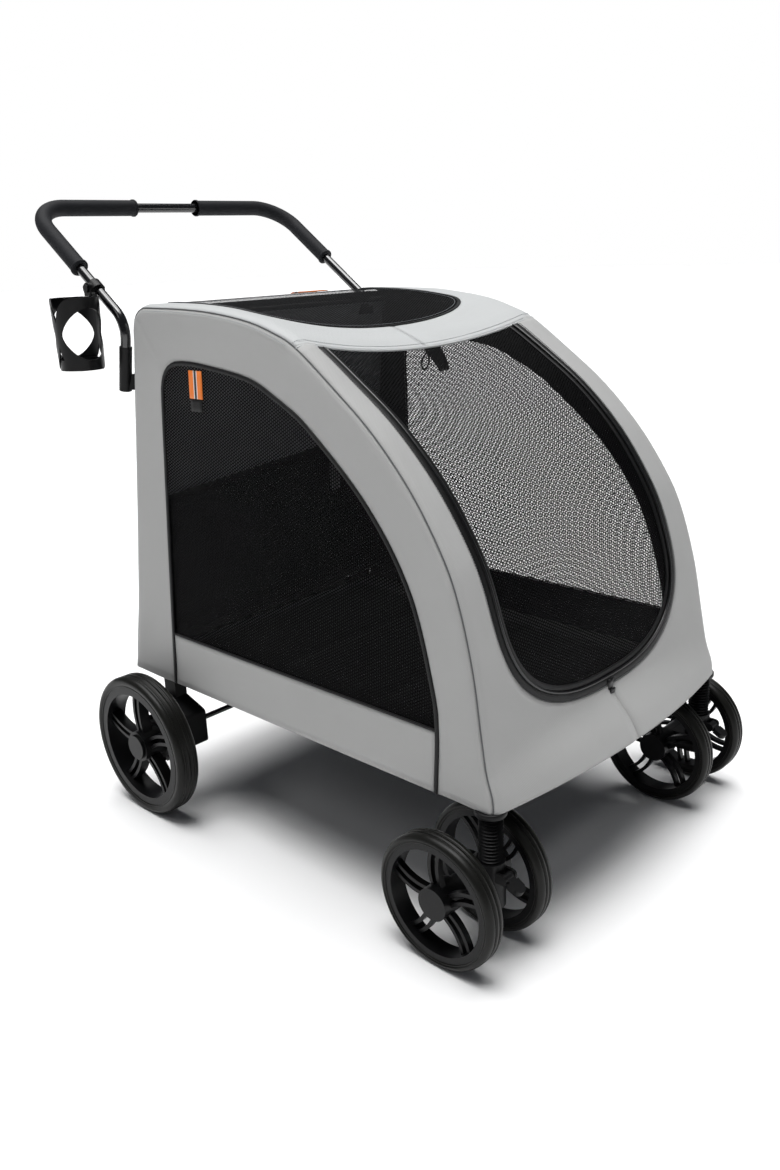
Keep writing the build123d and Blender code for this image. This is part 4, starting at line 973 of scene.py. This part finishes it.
def back_grid(line, low, high, half_at, slack=0.0, rounded=True):
    """Rows of points across the cabin's back between two heights, which are functions of x."""
    rows, threads = [], []
    edges = np.linspace(0.92, 1, 8)
    for step in range(rear_steps + 1):
        row, flat = [], []
        for share in [*-edges[::-1], *np.linspace(-0.88, 0.88, 40), *edges]:
            bottom, top = low(share * 290), high(share * 290)
            z = bottom + (top - bottom) * step / rear_steps
            y = float(np.interp(z, line[:, 1], line[:, 0]))
            half = half_at(z)
            x = share * half
            edge = max(0.0, roll_radius - (half + roll_depth - abs(x))) if rounded else 0.0
            back = roll_radius - math.sqrt(max(0.0, roll_radius**2 - edge**2))
            bulge = sum(part * math.exp(-((z - bow_z) / run) ** 2) for bow_z, run, part in post_bows)
            bulge *= slack * math.exp(-((abs(share) - post_share) / post_reach) ** 2)
            row.append((x, y - back + ripple((x, 900, z), 90, 2.0) * (1 - abs(share)) + bulge, z))
            flat.append((x, z))
        rows.append(row)
        threads.append(flat)
    return rows, threads


rows, threads = back_grid(
    rear_line, lambda x: hem_z, lambda x: rear_top_z, lambda z: wall_x(z) - roll_depth, slack=15.0,
)
back_panel = cloth_piece("rear_panel", "grey_polyester", rows, threads, oxford, lining, face=(0, 1, 0))
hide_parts("rear_cover")

# ------------------------------------------------------------------ inner back lining
# A loose lining hangs inside the posts and hides them and their crossbar. It is black below, where it meets
# the floor pad. Above a slightly sloping seam it is painted a paler charcoal: painted light, standing in for
# the light that falls on the dark cloth through the roof net.
curtain_line = np.array([(62, 263), (57, 300), (18, 630), (16, 650), (3, 735), (-3, 785), (-14, 806)], float)


def lining_edge(x):
    """The height of the seam between the lining's black part and the part above it painted paler as light,
    at a distance across.
    """
    return 542.0 + 0.08 * x


for name, low, high, tone in (
    ("back_lining_low", lambda x: 263.0, lining_edge, lining),
    ("back_lining_high", lining_edge, lambda x: 806.0, lining_painted_light),
):
    rows, threads = back_grid(curtain_line, low, high, lambda z: wall_x(z) - 6.0, rounded=False)
    cloth_piece(name, "grey_polyester", rows, threads, tone, thick=1.0, face=(0, -1, 0))

# ------------------------------------------------------------------ floor pad
# A foam pad in black oxford cloth lies on the fibreboard floor. It is quilted in three panels so
# that it folds, and it is a little crowned between its seams.
board = grained("black_coated_hardboard", "#0c0c0c", 0.6, 1.5, 0.1, **satin)
dressed(board, "floor_board")
pad_low, pad_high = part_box("floor_pad")
pad_u, pad_v, pad_panels = 40, 60, 3
rows, threads = [], []
for i in range(pad_u + 1):
    row, flat = [], []
    for j in range(pad_v + 1):
        u, v = i / pad_u, j / pad_v
        x = pad_low.x + (pad_high.x - pad_low.x) * u
        y = pad_low.y + (pad_high.y - pad_low.y) * v
        rim = min(1.0, min(u, 1 - u) * 14) ** 0.5 * min(1.0, min(v, 1 - v) * 18) ** 0.5
        quilt = abs(math.sin(math.pi * pad_panels * v)) ** 0.4
        z = pad_low.z + (pad_high.z - pad_low.z) * (0.25 + 0.75 * rim * (0.6 + 0.4 * quilt))
        row.append((x / mm, (y - axle_y) / mm, z / mm))
        flat.append((x / mm, y / mm))
    rows.append(row)
    threads.append(flat)
pad_cloth = woven("black_pad_cloth", "#050505", 1.3, 0.12, 0.8, mottle=0.02, sheen=0.0, gloss=0.1)
pad = cloth_piece(
    "floor_cushion", "floor_cloth", rows, threads, pad_cloth, thick=2.5, body="base", face=upward,
)
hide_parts("floor_pad")

# ------------------------------------------------------------------ tether
# A short webbing tab hangs inside the visor, with a moulded snap hook to clip to a pet's collar.
webbing = woven("woven_nylon_webbing", "#0b0b0c", 1.6, 0.2, 0.55, sheen=0.0)
tether_y = -335.0
strap_rows = (
    (4, 40, 757.5, 0), (8, 44, 750, -2), (16, 49, 741, -4), (25, 54, 731, -5), (33, 58, 722, -5),
    (38, 60, 716, -4),
)
strap = [
    [(x0 + (x1 - x0) * t, tether_y + lean, z) for t in np.linspace(0, 1, 7)]
    for x0, x1, z, lean in strap_rows
]
tether = slab("tether_webbing", "black_webbing", strap, 2.4, webbing, "tether")
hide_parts("tether_strap")
hook_z, hook_half_wide, hook_half_high, hook_lean = 735, 8.5, 12.0, 5.5
line = []
for turn in np.linspace(0, 2 * math.pi, 40, endpoint=False):
    narrow = 1 - 0.55 * max(0.0, math.cos(turn)) ** 2
    x = 1 + hook_half_wide * narrow * math.sin(turn) + hook_lean * (1 + math.cos(turn)) / 2
    line.append((x, tether_y - 4, hook_z + hook_half_high * math.cos(turn)))
line.append(line[0])
cord = round_section(1.5, 8)
loop = swept("tether_loop", line, (0, -1, 0), cord, coil_plastic, body="snap_hook")
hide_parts("tether_snap")

# ------------------------------------------------------------------ woven tags and label
# A looped orange ribbon with one charcoal stripe marks the near window and the roof's rear edge,
# and a plain satin care label is sewn inside the back. None of them carries words.
ribbon, tree = new_material("woven_ribbon")
threads = thread_sockets(tree)
off_middle = add(tree, "Math", {"operation": "ABSOLUTE"}, {0: threads["X"]})
stripe_half_mm, edge_half_mm, rib_mm = 2.6, 4.4, 1.0
tone = linear("#e8781c")
for half_mm, colour in ((edge_half_mm, "#d9d9d6"), (stripe_half_mm, "#1c1d26")):
    within = add(tree, "Math", {"operation": "LESS_THAN"}, {0: off_middle.outputs[0], 1: half_mm * mm})
    tones = {0: within.outputs[0], 6: tone, 7: linear(colour)}
    tone = add(tree, "Mix", {"data_type": "RGBA"}, tones).outputs[2]
angle = add(tree, "Math", {"operation": "MULTIPLY"}, {0: threads["Y"], 1: 2 * math.pi / (rib_mm * mm)})
rib = add(tree, "Math", {"operation": "SINE"}, {0: angle.outputs[0]})
bump = add(tree, "Bump", {}, {"Height": rib.outputs[0], "Distance": 0.1 * mm, "Strength": 0.5})
shader = add(tree, "BsdfPrincipled", {}, {
    "Base Color": tone, "Roughness": 0.55, "Normal": bump.outputs[0],
})
add(tree, "OutputMaterial", {}, {"Surface": shader.outputs[0]})


def tag(name, slot_name, points, thick, material, half_width, face):
    """A small flat strip of ribbon: rows of points along it, and its half width for the stripes."""
    across = np.linspace(-half_width, half_width, len(points[0]))
    threads = [[(u, 12.0 * i) for u in across] for i in range(len(points))]
    return cloth_piece(name, slot_name, points, threads, material, thick=thick, face=face)


ribbon_half = 15.5
points = [
    [(-(wall_x(z) + 1.4), y, z) for y in np.linspace(-118, -118 - 2 * ribbon_half, 7)]
    for z in np.linspace(740, 699, 6)
]
tag("window_ribbon", "grey_polyester", points, 1.2, ribbon, ribbon_half, (-1, 0, 0))
points = [
    [(-(wall_x(z) + 0.9), y, z) for y in np.linspace(-119, -147, 5)] for z in np.linspace(700, 680, 4)
]
tag("window_tab", "black_webbing", points, 1.0, tape_black, 14, (-1, 0, 0))
points = [[roof_point(x, y, 2.2) for y in np.linspace(2, -26, 7)] for x in np.linspace(42, 104, 6)]
tag("roof_ribbon", "grey_polyester", points, 1.4, ribbon, 14, upward)
satin_label = woven("satin_care_label", "#3c3c3d", 0.8, 0.05, 0.4, sheen=0.0, gloss=0.3)
back_y = float(np.interp(490, curtain_line[:, 1], curtain_line[:, 0])) - 2.0
points = [
    [(x, back_y - 1.5 + (z - 490) * -0.11, z) for x in np.linspace(137, 167, 5)]
    for z in np.linspace(521, 458, 6)
]
tag("care_label", "black_webbing", points, 0.6, satin_label, 15, (0, -1, 0))

# ------------------------------------------------------------------ stitching
# Grey polyester thread holds the seams flat: a row of lockstitch about 3.5 mm long runs beside
# the roof's side seams, the visor, the roof net and the door's opening.
stitch_pitch, stitch_length, stitch_wide, stitch_high = 3.6, 2.6, 0.75, 0.5


def stitched(name, line, facing, material):
    """One mesh of small raised stitches along a line of points."""
    line = np.array(line, float)
    lengths = np.r_[0, np.cumsum(np.linalg.norm(np.diff(line, axis=0), axis=1))]
    facing = np.broadcast_to(np.array(facing, float), line.shape)
    starts = np.arange(0, lengths[-1] - stitch_length, stitch_pitch)

    def at(values, length):
        return Vector([np.interp(length, lengths, values[:, k]) for k in range(3)])

    points, faces = [], []
    for start in starts:
        a, b, out = at(line, start), at(line, start + stitch_length), at(facing, start).normalized()
        wide = (b - a).cross(out).normalized() * stitch_wide / 2
        base_index = len(points)
        for spot in (a, b):
            crown = spot + out * stitch_high
            points += [spot - wide, crown - wide * 0.6, crown + wide * 0.6, spot + wide]
        faces += [
            tuple(base_index + k for k in quad)
            for quad in ((0, 1, 5, 4), (1, 2, 6, 5), (2, 3, 7, 6), (0, 4, 7, 3), (0, 3, 2, 1), (4, 5, 6, 7))
        ]
    made = mesh_object(name, [place(*p) for p in points], faces)
    made.data.materials.append(material)
    carried(made)


grey_thread = grained("grey_polyester_thread", "#8f9396", 0.6, 0.6, 0.05, IOR=1.5)
dark_thread = grained("black_polyester_thread", "#3a3a3b", 0.55, 0.6, 0.05, IOR=1.5)
stitch_row = roll_radius * (1 - math.sin(math.radians(12))) - 4.0  # in from the cabin's edge
net_row_x, net_row_y = 0.968, 0.92  # the roof net's row, as shares of its outline
for side_name, side in sides:
    run = range(rear_counts + corner_counts - 2, visor_station)
    line, facing = [], []
    for station in run:
        y, z = ridge[station] + ridge_in[station] * stitch_row
        line.append((side * (wall_x(z) + 0.2), y, z))
        facing.append((side, 0, 0.1))
    stitched(f"{side_name}_roof_stitches", line, facing, grey_thread)
line = [
    (x * net_row_x, panel_straight + (y - panel_straight) * net_row_y if y < panel_straight else y)
    for x, y in d_round
]
stitched("roof_net_stitches", [roof_point(x, y, 0.3) for x, y in line], upward, grey_thread)
line = [(x, y + 9.0) for x, y in mirrored(front_edge)]
stitched("visor_stitches", [roof_point(x, y, 0.2) for x, y in line], upward, grey_thread)
line, facing = round_opening(-1.6, 0.5)
stitched("opening_stitches", line, facing, dark_thread)
